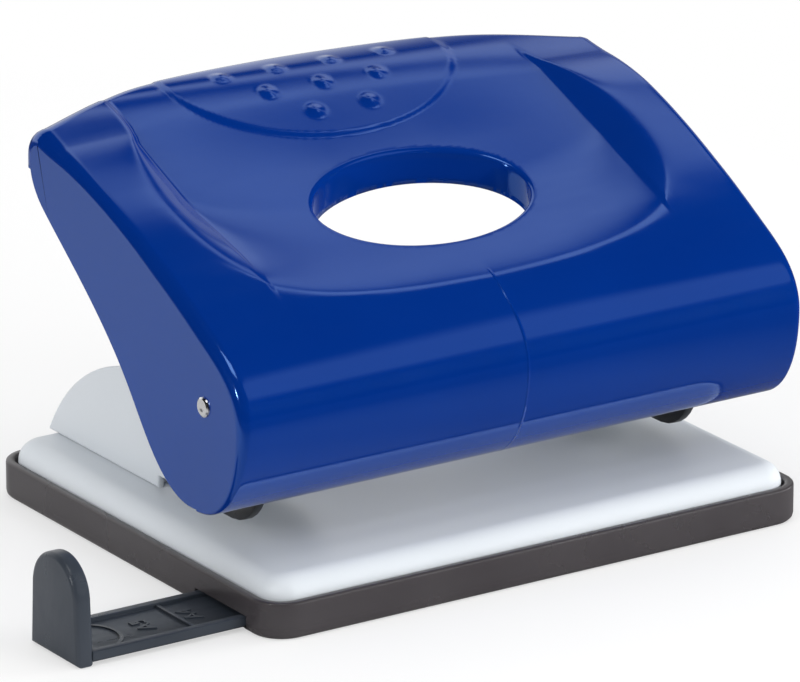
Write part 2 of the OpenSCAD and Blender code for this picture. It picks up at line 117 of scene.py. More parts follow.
def spline(points: list[Point], steps: int) -> np.ndarray:
    """Smooth line through points.

    Args:
        points: The points.
        steps: Parts between each two of them.

    Returns:
        The line's points, one row each.
    """
    p = [points[0], *points, points[-1]]
    line: list[Point] = []
    for a, b, c, d in zip(p, p[1:], p[2:], p[3:]):
        first = tuple(b[k] + (c[k] - a[k]) / 6 for k in (0, 1))
        second = tuple(c[k] - (d[k] - b[k]) / 6 for k in (0, 1))
        line += cubic(b, first, second, c, steps)
    return np.array([*line, points[-1]])


def step(low: float, high: float, value: np.ndarray) -> np.ndarray:
    """Smooth step from 0 where the value is low to 1 where it is high."""
    t = np.clip((value - low) / (high - low), 0.0, 1.0)
    return t * t * (3 - 2 * t)


def soft_min(a: np.ndarray, b: np.ndarray, blend: float) -> np.ndarray:
    """Smaller of two heights, with a change-over rounded over the blend."""
    h = np.clip(0.5 + 0.5 * (b - a) / blend, 0.0, 1.0)
    return b * (1 - h) + a * h - blend * h * (1 - h)


def along(points: list[Point], spacing: float) -> np.ndarray:
    """Evenly spaced points along a line of points.

    Args:
        points: The line's points.
        spacing: Wanted distance between the points.

    Returns:
        The new points, one row each.
    """
    line = np.array(points, float)
    lengths = np.concatenate([[0.0], np.cumsum(np.linalg.norm(np.diff(line, axis=0), axis=1))])
    count = max(2, int(round(lengths[-1] / spacing)) + 1)
    marks = np.linspace(0.0, lengths[-1], count)
    return np.stack([np.interp(marks, lengths, line[:, k]) for k in (0, 1)], axis=1)


# ---- Materials ----


class NodeBoard:
    """Builds the nodes of one material or world."""

    def __init__(self, holder: ID) -> None:
        """Empties the holder's node tree.

        Args:
            holder: The new material or world.
        """
        holder.use_nodes = True
        self.holder = holder
        self.tree = holder.node_tree
        self.tree.nodes.clear()
        self.coords = self.add("TexCoord")

    def add(self, kind: str, sockets: dict | None = None,
            **settings: object) -> bpy.types.bpy_prop_collection:
        """Adds a node.

        Args:
            kind: Type of the node, without its ShaderNode prefix.
            sockets: Values or links for its inputs, by name or number.
            **settings: Properties of the node.

        Returns:
            Its outputs.
        """
        node = self.tree.nodes.new(f"ShaderNode{kind}")
        for key, value in settings.items():
            setattr(node, key, value)
        for key, value in (sockets or {}).items():
            if isinstance(value, Socket):
                self.tree.links.new(value, node.inputs[key])
            else:
                node.inputs[key].default_value = value
        return node.outputs

    def noise(self, scale: float, detail: float = 3.0, stretch: Point = (1.0, 1.0)) -> Socket:
        """Noise over the piece's own coordinates.

        Args:
            scale: Features per metre.
            detail: Octaves of the noise.
            stretch: Extra scale along X and Y, for drawn or brushed marks.

        Returns:
            The noise as a factor.
        """
        place = self.add("Mapping", {"Vector": self.coords["Object"], "Scale": (*stretch, 1.0)})[0]
        return self.add("TexNoise", {"Vector": place, "Scale": scale, "Detail": detail})["Fac"]

    def ramp(self, factor: Socket, low: float, high: float, at: Point = (0.3, 0.7),
             **settings: object) -> Socket:
        """Maps a factor between two values.

        Args:
            factor: The factor to map.
            low: Value at the lower mark.
            high: Value at the upper mark.
            at: The two marks.
            **settings: Properties of the node.

        Returns:
            The mapped value.
        """
        return self.add("MapRange", {
            "Value": factor, "From Min": at[0], "From Max": at[1], "To Min": low, "To Max": high,
        }, **settings)[0]

    def math(self, operation: str, a: Socket | float, b: Socket | float = 0.0) -> Socket:
        """Result of a math node on two values."""
        return self.add("Math", {0: a, 1: b}, operation=operation)[0]

    def reach(self, operation: str, vector: Solid) -> Socket:
        """Result of a vector math node on the piece's own coordinates and a vector."""
        ends = {0: self.coords["Object"], 1: vector}
        return self.add("VectorMath", ends, operation=operation)["Value"]

    def tint(self, factor: Socket, low: Solid, high: Solid | Socket) -> Socket:
        """Colour that goes from low to high with the factor."""
        ends = {"A": (*low, 1.0), "B": high if isinstance(high, Socket) else (*high, 1.0)}
        return self.add("Mix", {"Factor": factor} | ends, data_type="RGBA")["Result"]

    def bump(self, height: Socket, distance: float, strength: float = 1.0,
             over: Socket | None = None) -> Socket:
        """Surface normal of a fine relief.

        Args:
            height: Height of the relief as a factor.
            distance: Height in millimetres at 1.
            strength: Share of the relief that shows.
            over: Normal of a coarser relief underneath.

        Returns:
            The normal.
        """
        sockets = {"Height": height, "Distance": distance * MM, "Strength": strength}
        return self.add("Bump", sockets | ({"Normal": over} if over else {}))[0]

    def blend(self, share: Socket, first: Socket, second: Socket) -> Socket:
        """Mix of two shaders."""
        return self.add("MixShader", {0: share, 1: first, 2: second})[0]

    def finish(self, shader: Socket, output: str = "OutputMaterial") -> ID:
        """Ends the tree in one shader and returns its holder."""
        self.add(output, {"Surface": shader})
        return self.holder

    def principled(self, sockets: dict) -> ID:
        """Ends the tree in a principled shader with those inputs and returns its holder."""
        return self.finish(self.add("BsdfPrincipled", sockets)[0])


@dataclass(frozen=True)
class GlossPlastic:
    """Glossy moulded plastic of the handle."""

    deep: Solid = (0.0003, 0.021, 0.185)
    light: Solid = (0.0005, 0.028, 0.225)
    roughness: Point = (0.08, 0.12)
    sheen_index: float = 2.1
    sheen_tint: tuple = (0.25, 0.50, 1.0, 1.0)
    seam_half: float = 0.35
    seam_end: Point = (-0.034, -0.030)

    def material(self) -> Material:
        """Deep blue with slight flow marks, orange peel and the mould's parting line.

        Returns:
            The material.
        """
        board = NodeBoard(bpy.data.materials.new("gloss_blue_plastic"))
        flow = board.noise(28.0, 4.0)
        peel = board.noise(520.0, 2.0)
        rub = board.noise(90.0, 5.0, (1.0, 4.0))
        axes = board.add("SeparateXYZ", {0: board.coords["Object"]})
        beside = board.math("DIVIDE", board.math("ABSOLUTE", axes["X"]), self.seam_half * MM)
        line = board.ramp(beside, 1.0, 0.0, (0.0, 1.0))
        nose = board.ramp(axes["Y"], 1.0, 0.0, self.seam_end)
        seam = board.math("MULTIPLY", line, nose)
        peel_normal = board.bump(peel, 0.010, 0.35)
        return board.principled({
            "Base Color": board.tint(flow, self.deep, self.light),
            "Roughness": board.ramp(rub, *self.roughness),
            "IOR": self.sheen_index,
            "Specular Tint": self.sheen_tint,
            "Normal": board.bump(seam, 0.10, 1.0, peel_normal),
        })


@dataclass(frozen=True)
class PowderCoat:
    """Light grey stoved paint of the base."""

    pale: Solid = (0.64, 0.675, 0.71)
    dull: Solid = (0.58, 0.615, 0.65)

    def material(self) -> Material:
        """Pale grey with fine orange peel, faint clouding and a few specks.

        Returns:
            The material.
        """
        board = NodeBoard(bpy.data.materials.new("painted_grey_steel"))
        cloud = board.noise(22.0, 4.0)
        peel = board.noise(900.0, 3.0)
        specks = board.noise(2600.0, 1.0)
        height = board.math(
            "ADD", board.math("MULTIPLY", peel, 0.8), board.math("MULTIPLY", specks, 0.2)
        )
        return board.principled({
            "Base Color": board.tint(cloud, self.dull, self.pale),
            "Roughness": board.ramp(cloud, 0.34, 0.44),
            "IOR": 1.5,
            "Normal": board.bump(height, 0.02, 0.5),
        })


@dataclass(frozen=True)
class SmokePlastic:
    """Smoke-tinted translucent plastic of the chip tray."""

    dark: Solid = (0.058, 0.050, 0.056)
    clear: Solid = (0.105, 0.096, 0.102)
    transmission: float = 0.45

    def material(self) -> Material:
        """Brown-grey, half see-through, with flow clouding and a satin inside.

        Returns:
            The material.
        """
        board = NodeBoard(bpy.data.materials.new("smoke_tray_plastic"))
        cloud = board.noise(45.0, 4.0)
        grain = board.noise(700.0, 2.0)
        return board.principled({
            "Base Color": board.tint(cloud, self.dark, self.clear),
            "Roughness": board.ramp(cloud, 0.20, 0.32),
            "IOR": 1.49,
            "Transmission Weight": self.transmission,
            "Normal": board.bump(grain, 0.012, 0.4),
        })


@dataclass(frozen=True)
class GuidePlastic:
    """Dark satin plastic of the paper guide."""

    name: str = "slate_guide_plastic"
    dark: Solid = (0.026, 0.033, 0.044)
    light: Solid = (0.040, 0.048, 0.063)

    def material(self) -> Material:
        """Dark slate with a fine spark-eroded grain and rubbed patches.

        Returns:
            The material.
        """
        board = NodeBoard(bpy.data.materials.new(self.name))
        cloud = board.noise(60.0, 4.0)
        grain = board.noise(1500.0, 2.0)
        rub = board.noise(160.0, 4.0, (0.4, 2.0))
        return board.principled({
            "Base Color": board.tint(cloud, self.dark, self.light),
            "Roughness": board.ramp(rub, 0.26, 0.42),
            "IOR": 1.5,
            "Normal": board.bump(grain, 0.015, 0.5),
        })


@dataclass(frozen=True)
class Steel:
    """Bare or plated steel with drawn marks along one direction."""

    name: str
    bright: Solid = (0.62, 0.62, 0.61)
    dull: Solid = (0.42, 0.42, 0.43)
    roughness: Point = (0.20, 0.36)
    drawn: Point = (1.0, 1.0)

    def material(self) -> Material:
        """Steel with tarnish clouds and fine tool marks.

        Returns:
            The material.
        """
        board = NodeBoard(bpy.data.materials.new(self.name))
        tarnish = board.noise(180.0, 5.0)
        marks = board.noise(1400.0, 3.0, self.drawn)
        return board.principled({
            "Base Color": board.tint(tarnish, self.dull, self.bright),
            "Metallic": 1.0,
            "Roughness": board.ramp(marks, *self.roughness),
            "Normal": board.bump(marks, 0.006, 0.6),
        })


class Finishes:
    """The materials of the model, made once each."""

    def __init__(self) -> None:
        """Makes them."""
        self.plastic = GlossPlastic().material()
        self.paint = PowderCoat().material()
        self.smoke = SmokePlastic().material()
        self.slate = GuidePlastic().material()
        # Near-black finish for the throat strips: painted shade that stands in for the deep shadow
        # under the nose.
        self.black = GuidePlastic(
            "painted_shade_black", (0.002, 0.002, 0.003), (0.005, 0.005, 0.006)
        ).material()
        self.die = Steel("ground_die_steel", drawn=(0.1, 4.0)).material()
        self.rivet = Steel("plated_rivet_steel", (0.72, 0.71, 0.68)).material()
        self.spring = Steel("plated_spring_steel", roughness=(0.16, 0.28)).material()
        self.punch = Steel(
            "polished_punch_steel", (0.70, 0.70, 0.69), roughness=(0.12, 0.24)
        ).material()
        self.dark = Steel("blackened_steel", (0.10, 0.10, 0.11), (0.05, 0.05, 0.055)).material()
        self.rod = Steel(
            "bright_rod_steel", (0.86, 0.86, 0.86), (0.72, 0.72, 0.73), (0.14, 0.26)
        ).material()


# ---- Making pieces ----


def link_new(name: str, data: ID) -> Object:
    """Puts a new object into the scene.

    Args:
        name: Name of the object.
        data: Its mesh, lamp, camera or text.

    Returns:
        The object.
    """
    obj = bpy.data.objects.new(name, data)
    bpy.context.scene.collection.objects.link(obj)
    return obj


def smooth(mesh: Mesh, sharp: float = SHARP_ANGLE) -> None:
    """Shades a mesh smooth, apart from edges above that angle in degrees."""
    mesh.shade_smooth()
    mesh.set_sharp_from_angle(angle=math.radians(sharp))


def close(bm: BMesh, dist: float = NEAR) -> None:
    """Merges doubles and turns the faces of closed shells outwards."""
    bmesh.ops.remove_doubles(bm, verts=bm.verts, dist=dist)
    bmesh.ops.recalc_face_normals(bm, faces=bm.faces)


def level(parts: BMEdgeSeq | BMFaceSeq, z: float) -> list:
    """Those of the edges or faces that lie at height z."""
    return [part for part in parts if all(abs(v.co.z - z) < NEAR for v in part.verts)]


def largest(bm: BMesh) -> BMFace:
    """The face with the largest area."""
    return max(bm.faces, key=lambda face: face.calc_area())


def blunt(bm: BMesh, geom: list, radius: float, segments: int = 2,
          affect: str = "EDGES", clamp: bool = False) -> None:
    """Rounds edges or corners.

    Args:
        bm: Mesh that they are in.
        geom: The edges or corners.
        radius: Radius of the rounding.
        segments: Segments of the rounding.
        affect: "EDGES" or "VERTICES".
        clamp: Whether the radius stays clear of neighbouring edges.
    """
    bmesh.ops.bevel(bm, geom=geom, offset=radius, offset_type="OFFSET", affect=affect,
                    segments=segments, profile=0.5, material=-1, clamp_overlap=clamp)


def piece(name: str, bm: BMesh, material: Material, body: Body,
          replaces: tuple[str, ...] = (), sharp: float = SHARP_ANGLE) -> Object:
    """Turns a bmesh in millimetres into a piece of the model.

    Args:
        name: Name of the piece.
        bm: The mesh, which is freed.
        material: Its finish.
        body: The body that it rides on.
        replaces: Solids of the frame that it stands for.
        sharp: Angle in degrees above which an edge stays sharp.

    Returns:
        The new object.
    """
    bmesh.ops.scale(bm, vec=(MM, MM, MM), verts=bm.verts)
    mesh = bpy.data.meshes.new(name)
    bm.to_mesh(mesh)
    bm.free()
    smooth(mesh, sharp)
    obj = link_new(name, mesh)
    mesh.materials.append(material)
    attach(obj, body.value)
    if replaces:
        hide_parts(*replaces)
    log.info("built %s: %d faces", name, len(mesh.polygons))
    return obj


def dress(node: str, material: Material) -> None:
    """Gives a solid of the frame its finish.

    Args:
        node: Name of the solid.
        material: The finish.
    """
    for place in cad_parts[node].material_slots:
        place.material = material
    log.info("dressed %s", node)


def rounded_face(bm: BMesh, length: float, width: float, radius: float, z: float,
                 segments: int = 12) -> BMFace:
    """Adds a rounded rectangle centred on the Z axis.

    Args:
        bm: Mesh to add to.
        length: Size along X.
        width: Size along Y.
        radius: Corner radius.
        z: Height of the face.
        segments: Edges of each corner.

    Returns:
        The face, which looks up.
    """
    made = bmesh.ops.create_grid(bm, x_segments=1, y_segments=1, size=0.5)["verts"]
    bmesh.ops.scale(bm, vec=(length, width, 1.0), verts=made)
    bmesh.ops.translate(bm, vec=(0.0, 0.0, z), verts=made)
    blunt(bm, made, radius, segments, "VERTICES")
    return largest(bm)


def raise_face(bm: BMesh, face: BMFace, vec: Solid) -> BMFace:
    """Extrudes one face along a vector.

    Args:
        bm: Mesh of the face.
        face: The face.
        vec: The way that it moves.

    Returns:
        The face at the far end.
    """
    made = bmesh.ops.extrude_face_region(bm, geom=[face])["geom"]
    top = next(g for g in made if isinstance(g, BMFace))
    bmesh.ops.translate(bm, vec=vec, verts=top.verts)
    return top


def step_face(bm: BMesh, face: BMFace, inset: float,
              depth: float) -> BMFace:
    """Insets a face and moves it up or down along Z with upright sides.

    Args:
        bm: Mesh of the face.
        face: The face.
        inset: Width of the border left around it.
        depth: Height that the inner face moves.

    Returns:
        The inner face.
    """
    bmesh.ops.inset_region(bm, faces=[face], thickness=inset, use_even_offset=True)
    inner = raise_face(bm, face, (0.0, 0.0, depth))
    if face.is_valid:
        bmesh.ops.delete(bm, geom=[face], context="FACES_ONLY")
    return inner


def prism(bm: BMesh, outline: list[Point], x0: float, x1: float,
          edge: float, segments: int = 2) -> None:
    """Adds a plate along X over an outline in Y and Z.

    Args:
        bm: Mesh to add to.
        outline: Outline as (y, z) points.
        x0: Where the plate starts.
        x1: Where it ends.
        edge: Radius of its rounded edges.
        segments: Segments of the rounded edges.
    """
    part = bmesh.new()
    corners = [part.verts.new((x0, y, z)) for y, z in outline]
    face = part.faces.new(corners)
    raise_face(part, face, (x1 - x0, 0.0, 0.0))
    close(part)
    rim = [e for e in part.edges if abs(e.verts[0].co.x - e.verts[1].co.x) < 1e-6]
    blunt(part, rim, edge, segments, clamp=True)
    merge_in(bm, part)


def merge_in(bm: BMesh, part: BMesh) -> None:
    """Adds one mesh to another.

    Args:
        bm: The mesh that grows.
        part: The mesh that is added, which is freed.
    """
    carrier = bpy.data.meshes.new("carrier")
    part.to_mesh(carrier)
    part.free()
    bm.from_mesh(carrier)
    bpy.data.meshes.remove(carrier)


def lathe(bm: BMesh, profile: list[Point], centre: Solid, axis: str = "Z") -> None:
    """Turns a profile of (radius, height) points about an axis.

    Args:
        bm: Mesh to add to.
        profile: Points from one end of the axis to the other.
        centre: Where the axis passes.
        axis: "X" or "Z".
    """
    part = bmesh.new()
    line = [part.verts.new((r, 0.0, h)) for r, h in profile]
    edges = [part.edges.new(pair) for pair in zip(line, line[1:])]
    bmesh.ops.spin(part, geom=line + edges, cent=(0, 0, 0), axis=(0, 0, 1), angle=2 * math.pi,
                   steps=48, use_merge=True, use_duplicate=False)
    close(part)
    if axis == "X":
        lay = Matrix.Rotation(math.pi / 2, 3, "Y")
        bmesh.ops.rotate(part, cent=(0, 0, 0), matrix=lay, verts=part.verts)
    bmesh.ops.translate(part, vec=centre, verts=part.verts)
    merge_in(bm, part)


def bar(bm: BMesh, radius: float, ends: Point, centre: Solid, axis: str = "Z") -> None:
    """Adds a plain round bar that reaches from end to end of an axis through centre."""
    low, high = ends
    lathe(bm, [(0.0, low), (radius, low), (radius, high), (0.0, high)], centre, axis)


def block(low: Solid, high: Solid) -> BMesh:
    """Makes a plain box.

    Args:
        low: Its corner with the smallest x, y and z.
        high: Its corner with the largest x, y and z.

    Returns:
        The box as a new mesh.
    """
    part = bmesh.new()
    bmesh.ops.create_cube(part, size=1.0)
    bmesh.ops.scale(part, vec=[h - l for l, h in zip(low, high)], verts=part.verts)
    bmesh.ops.translate(part, vec=[(l + h) / 2 for l, h in zip(low, high)], verts=part.verts)
    return part


def box(bm: BMesh, low: Solid, high: Solid, edge: float = 0.0) -> None:
    """Adds a box.

    Args:
        bm: Mesh to add to.
        low: Its corner with the smallest x, y and z.
        high: Its corner with the largest x, y and z.
        edge: Radius of its rounded edges.
    """
    part = block(low, high)
    if edge:
        blunt(part, part.edges[:], edge)
    merge_in(bm, part)


def cut(obj: Object, cutter: BMesh) -> None:
    """Takes one closed mesh in millimetres out of a piece, for good.

    Args:
        obj: The piece.
        cutter: The mesh that is taken away, which is freed.
    """
    bmesh.ops.scale(cutter, vec=(MM, MM, MM), verts=cutter.verts)
    mesh = bpy.data.meshes.new("cutter")
    cutter.to_mesh(mesh)
    cutter.free()
    tool = link_new("cutter", mesh)
    change = obj.modifiers.new("cut", "BOOLEAN")
    change.solver = "EXACT"
    change.use_self = True
    change.object = tool
    bpy.context.view_layer.update()
    graph = bpy.context.evaluated_depsgraph_get()
    result = bpy.data.meshes.new_from_object(obj.evaluated_get(graph))
    obj.modifiers.remove(change)
    old = obj.data
    obj.data = result
    bpy.data.meshes.remove(old)
    bpy.data.objects.remove(tool)
    bpy.data.meshes.remove(mesh)
    smooth(obj.data)


# ---- Handle ----


@dataclass
class PressHandle:
    """The one-piece press handle: moulded shell, ribs, pivot rod, clips and press pins.

    The hand recess is sunk in a convex top. Its floor slopes up to the rear and rises to its
    front edge, its side walls rise from the foot, and it runs out gently at the rear. Fine,
    finest, medium and coarse are the spacings of the mesh rows.
    """

    finishes: Finishes
    half_len: float = 62.5
    wall: float = 2.3
    pivot: Point = (-31.0, 41.0)
    rear_y: float = 41.8
    bow_r: float = 185.0
    crown_r: float = 1500.0
    crown_z: Point = (44.0, 60.0)
    rear_sink: Point = (1.0, 0.5)
    sink_x: Point = (8.0, 54.0)
    sink_y: Point = (5.0, 36.0)
    lean: float = 0.022
    front_r: Point = (0.5, 2.3)
    end_marks: tuple[float, ...] = (-24.0, -8.0, 6.0, 16.0, 26.0, 35.0)
    end_radii: tuple[float, ...] = (2.3, 2.0, 1.8, 1.8, 2.2, 2.8)
    lip_r: Point = (3.4, 5.6)
    lip_grows: Point = (0.55, 1.0)
    floor_y: float = -31.0
    floor_z: float = 55.2
    floor_slope: float = 0.387
    hollow: float = 0.5
    hollow_x: float = 10.0
    hollow_y: Point = (4.0, 26.0)
    floor_half: float = 45.2
    floor_rise: float = 26.0
    foot_share: float = 0.85
    wall_least: Point = (0.35, 1.1)
    wall_deep_y: float = 12.0
    wall_round: float = 0.24
    wall_blend: float = 0.08
    crease: Point = (0.32, 0.28)
    crease_y: Point = (4.0, 20.0)
    run_out: float = 1.3
    run_out_y: Point = (6.0, 22.0)
    window_centre: Point = (0.0, -8.1)
    window_half: Point = (22.9, 13.0)
    window_rim: float = 0.8
    collar_depth: float = 6.6
    pad_centre: Point = (0.0, 33.0)
    pad_half: Point = (31.5, 21.5)
    pad_step: float = 0.22
    pad_edge: float = 0.55
    bump_rows: int = 3
    bump_r: float = 2.3
    bump_h: float = 0.38
    bump_power: float = 1.8
    bump_pitch: Point = (12.2, 7.2)
    bump_first_y: float = 18.8
    nose_y: float = -42.3
    upper_z: Point = (44.0, 53.0)
    finest: float = 0.45
    fine: float = 0.62
    medium: float = 0.75
    coarse: float = 1.1
    lip_rows: int = 8
    fall_rows: int = 4
    across_x: Solid = (41.0, 53.0, 61.0)
    across_step: Point = (0.74, 0.48)
    under_step: float = 0.8
    under_fit: float = 0.1
    curl: int = 8
    top_z: float = 50.0
    rib_x: Point = (49.8, 51.8)
    rib_y: Point = (-39.6, -24.5)
    rib_z: float = 35.0
    seat_x: Point = (40.0, 5.8)
    groove: Point = (29.9, 30.7)

    def __post_init__(self) -> None:
        """Works out the handle's side view from its few main points."""
        py, pz = self.pivot

        def at(y: float, z: float) -> Point:
            """Point of the side view given from the pivot."""
            return (py + y, pz + z)

        nose, chin = at(-12.8, -1.0), at(3.0, -21.2)
        shoulder, back, tip = at(0.0, 14.82), at(51.1, 36.0), at(72.0, 38.5)
        heel, waist = at(61.5, 28.0), at(26.5, -3.5)
        self.low_front = cubic(
            chin, (chin[0] - 10.5, chin[1]), (nose[0] + 0.2, nose[1] - 10), nose, 40
        )
        self.top = (
            cubic(nose, (nose[0], nose[1] + 7), (shoulder[0] - 6.3, shoulder[1] - 4), shoulder, 60)
            + cubic(shoulder, (shoulder[0] + 11, shoulder[1] + 7.4),
                    (back[0] - 16, back[1] - 3), back, 80)
            + cubic(back, (back[0] + 7, back[1] + 1.6), (tip[0] - 7, tip[1] + 1.8), tip, 40)
            + [tip, (tip[0] + 6, tip[1] - 0.6)]
        )
        self.under = (
            cubic(chin, (chin[0] + 12, chin[1] + 0.3), (waist[0] - 6.5, waist[1] - 8), waist, 40)
            + cubic(waist, (waist[0] + 11.5, waist[1] + 14.5),
                    (heel[0] - 3.5, heel[1] - 6), heel, 40)
            + [heel]
        )
        self.lip_line = cubic(
            heel, (heel[0] + 4, heel[1] + 3), (tip[0], tip[1] - 5.5), (tip[0] + 1, tip[1] - 3), 20
        ) + [(tip[0] + 1, tip[1] - 3)]
        self.dish_front = spline([
            (0.0, -32.1), (14.0, -31.6), (25.0, -30.5), (33.5, -28.8), (40.0, -26.4), (44.2, -23.8),
            (47.0, -20.4), (49.2, -15.6), (50.5, -9.5), (50.9, -3.0),
        ], 6)
        self.dish_side = spline([
            (50.9, -3.0), (50.7, 2.5), (49.9, 7.5), (48.6, 12.5), (47.1, 17.0), (45.6, 21.0),
            (44.8, 27.0), (44.6, 38.0),
        ], 6)

    def rear(self, x: np.ndarray) -> np.ndarray:
        """Y of the bowed rear edge at x."""
        return self.rear_y - x * x / (2 * self.bow_r)

    def crest(self, x: np.ndarray, y: np.ndarray) -> np.ndarray:
        """Height of the convex top before the hand recess is sunk in it.

        Args:
            x: Places along the handle.
            y: Places from front to rear.

        Returns:
            The heights.
        """
        line = np.array(self.top)
        z = np.interp(y, line[:, 0], line[:, 1])
        middle, end = self.rear_sink
        sink = middle + (end - middle) * step(*self.sink_x, np.abs(x)) + self.lean * x
        z = z - sink * step(*self.sink_y, y)
        return z - x * x / (2 * self.crown_r) * step(*self.crown_z, z)

    def recess(self, x: np.ndarray, y: np.ndarray) -> np.ndarray:
        """Depth of the hand recess under the convex top.

        Args:
            x: Places along the handle.
            y: Places from front to rear.

        Returns:
            The depths, 0 outside the recess.
        """
        side = np.abs(x)
        plane = self.floor_z + (y - self.floor_y) * self.floor_slope
        sink = self.hollow * (1 - step(self.hollow_x, self.floor_half, side))
        floor = plane - sink * (1 - step(*self.hollow_y, y))
        within = np.minimum(side, self.floor_half)
        front = np.interp(within, self.dish_front[:, 0], self.dish_front[:, 1])
        front_floor = self.floor_z + (front - self.floor_y) * self.floor_slope
        lift = self.crest(within, front) - front_floor + sink
        rise = lift * (1 - step(0.0, self.floor_rise, y - front))
        floor = floor + rise
        foot = self.floor_half - self.foot_share * rise
        deep = self.crest(x, y) - floor
        round_off = self.crease[0] + self.crease[1] * step(*self.crease_y, y)
        crisp = 0.5 * (deep + np.sqrt(deep * deep + round_off**2))
        zone = self.run_out
        gentle = np.clip(deep + zone, 0.0, 2 * zone) ** 2 / (4 * zone)
        gentle = np.where(deep > zone, deep, gentle)
        rear = step(*self.run_out_y, y)
        deep = crisp * (1 - rear) + gentle * rear
        outline = np.concatenate([self.dish_front, self.dish_side[1:]])
        edge = np.interp(y, outline[:, 1], outline[:, 0])
        low, high = self.wall_least
        least = low + (high - low) * step(0.0, self.wall_deep_y, y)
        share = (edge - side) / np.maximum(edge - foot, least)
        share = np.where((side < foot) & (y < 0.0), 1.0 + (foot - side), share)
        share = 0.5 * (share + np.sqrt(share * share + self.wall_round**2))
        return np.maximum(deep, 0.0) * soft_min(share, np.ones_like(share), self.wall_blend)

    def height(self, x: float, y: float) -> float:
        """Height of the finished top at one place."""
        return float(self.surface(np.array([x]), np.array([y]))[0])

    def follow(self, x: np.ndarray, y: np.ndarray) -> np.ndarray:
        """Moves rows of the top so that one of them runs along the dish's front edge.

        Args:
            x: Places along the handle.
            y: Places of the rows on the middle line.

        Returns:
            The moved y.
        """
        middle = self.dish_front[0, 1]
        arc = np.interp(np.abs(x), self.dish_front[:, 0], self.dish_front[:, 1]) - middle
        weight = step(self.nose_y, middle, y) * (1 - step(middle, 0.0, y))
        return y + np.minimum(arc, 10.0) * weight

    def relief(self, x: np.ndarray, y: np.ndarray) -> np.ndarray:
        """Height of the grip pad and its bumps over the top.

        Args:
            x: Places along the handle.
            y: Places from front to rear.

        Returns:
            The heights.
        """
        (cx, cy), (ax, ay) = self.pad_centre, self.pad_half
        reach = np.hypot((x - cx) / ax, (y - cy) / ay)
        height = self.pad_step * step(0.0, self.pad_edge, (1 - reach) * ay)
        for row in range(self.bump_rows):
            for i in range(row + 2):
                bx = (i - (row + 1) / 2) * self.bump_pitch[0]
                by = self.bump_first_y + row * self.bump_pitch[1]
                r = np.hypot(x - bx, y - by) / self.bump_r
                height = height + self.bump_h * np.where(r < 1, (1 - r * r) ** self.bump_power, 0.0)
        return height

    def surface(self, x: np.ndarray, y: np.ndarray) -> np.ndarray:
        """Heights of the finished top at places along x and y."""
        return self.crest(x, y) - self.recess(x, y) + self.relief(x, y)

    def section(self, share_x: np.ndarray) -> tuple[np.ndarray, np.ndarray]:
        """Lines of the shell from the chin over the top to the rear lip.

        Args:
            share_x: Place of each line across the handle, from -1 to 1.

        Returns:
            An array of lines, rows and (x, y, z), and the end radius of each row.
        """
        start, close_up = self.end_marks[0], self.dish_front[0, 1] - 1.5
        front = np.concatenate([
            along(self.low_front + [p for p in self.top if p[0] < self.nose_y], self.coarse),
            along([p for p in self.top if self.nose_y <= p[0] < close_up], self.medium),
            along([p for p in self.top if close_up <= p[0] < start], self.finest),
        ])
        rows_top = int(round((self.rear_y - start) / self.fine))
        share = np.linspace(0.0, 1.0, rows_top + 1)[1:]
        line = np.array(self.top)
        lip = np.array(self.lip_line)
        (low_r, high_r), (lip_low, lip_high) = self.front_r, self.lip_r
        front_r = low_r + (high_r - low_r) * step(0.0, 0.45, np.linspace(0.0, 1.0, len(front)))
        nominal = start + share * (self.rear_y - 5.0 - start)
        top_r = np.interp(nominal, self.end_marks, self.end_radii)
        top_r = np.convolve(np.pad(top_r, 6, mode="edge"), np.ones(13) / 13, mode="valid")
        rear_rows = self.lip_rows + self.fall_rows
        radii = np.concatenate([front_r, top_r, np.full(rear_rows, top_r[-1])])
        y, z = front[:, 0], front[:, 1]
        upper = step(*self.upper_z, z)
        columns = []
        for value in share_x:
            x = value * (self.half_len - radii)
            x_front, x_top, x_rear = x[:len(front)], x[len(front):-rear_rows], x[-rear_rows:]
            front_y = np.where(upper > 0, self.follow(x_front, y), y)
            crest = self.crest(x_front, front_y)
            level = np.interp(front_y, line[:, 0], line[:, 1])
            front_z = z + np.where(upper > 0, level - np.interp(y, line[:, 0], line[:, 1]), 0.0)
            front_z = front_z + upper * (crest - level - self.recess(x_front, front_y))
            end = float(self.rear(x_rear[-1]))
            radius = lip_low + (lip_high - lip_low) * float(step(*self.lip_grows, abs(value)))
            top_y = self.follow(x_top, front[-1, 0] + share * (end - radius - front[-1, 0]))
            top_z = self.surface(x_top, top_y)
            angles = np.linspace(0.0, math.pi / 2, self.lip_rows + 1)[1:]
            lip_y = end - radius + radius * np.sin(angles)
            lip_z = top_z[-1] - radius + radius * np.cos(angles)
            bottom = min(float(np.interp(end, lip[:, 0], lip[:, 1])), lip_z[-1] - 0.4)
            fall = np.linspace(0.0, 1.0, self.fall_rows + 1)[1:]
            yz = np.concatenate([
                np.stack([front_y, front_z], 1), np.stack([top_y, top_z], 1),
                np.stack([lip_y, lip_z], 1),
                np.stack([np.full(len(fall), end), lip_z[-1] + fall * (bottom - lip_z[-1])], 1),
            ])
            columns.append(np.column_stack([x, yz]))
        return np.stack(columns), radii

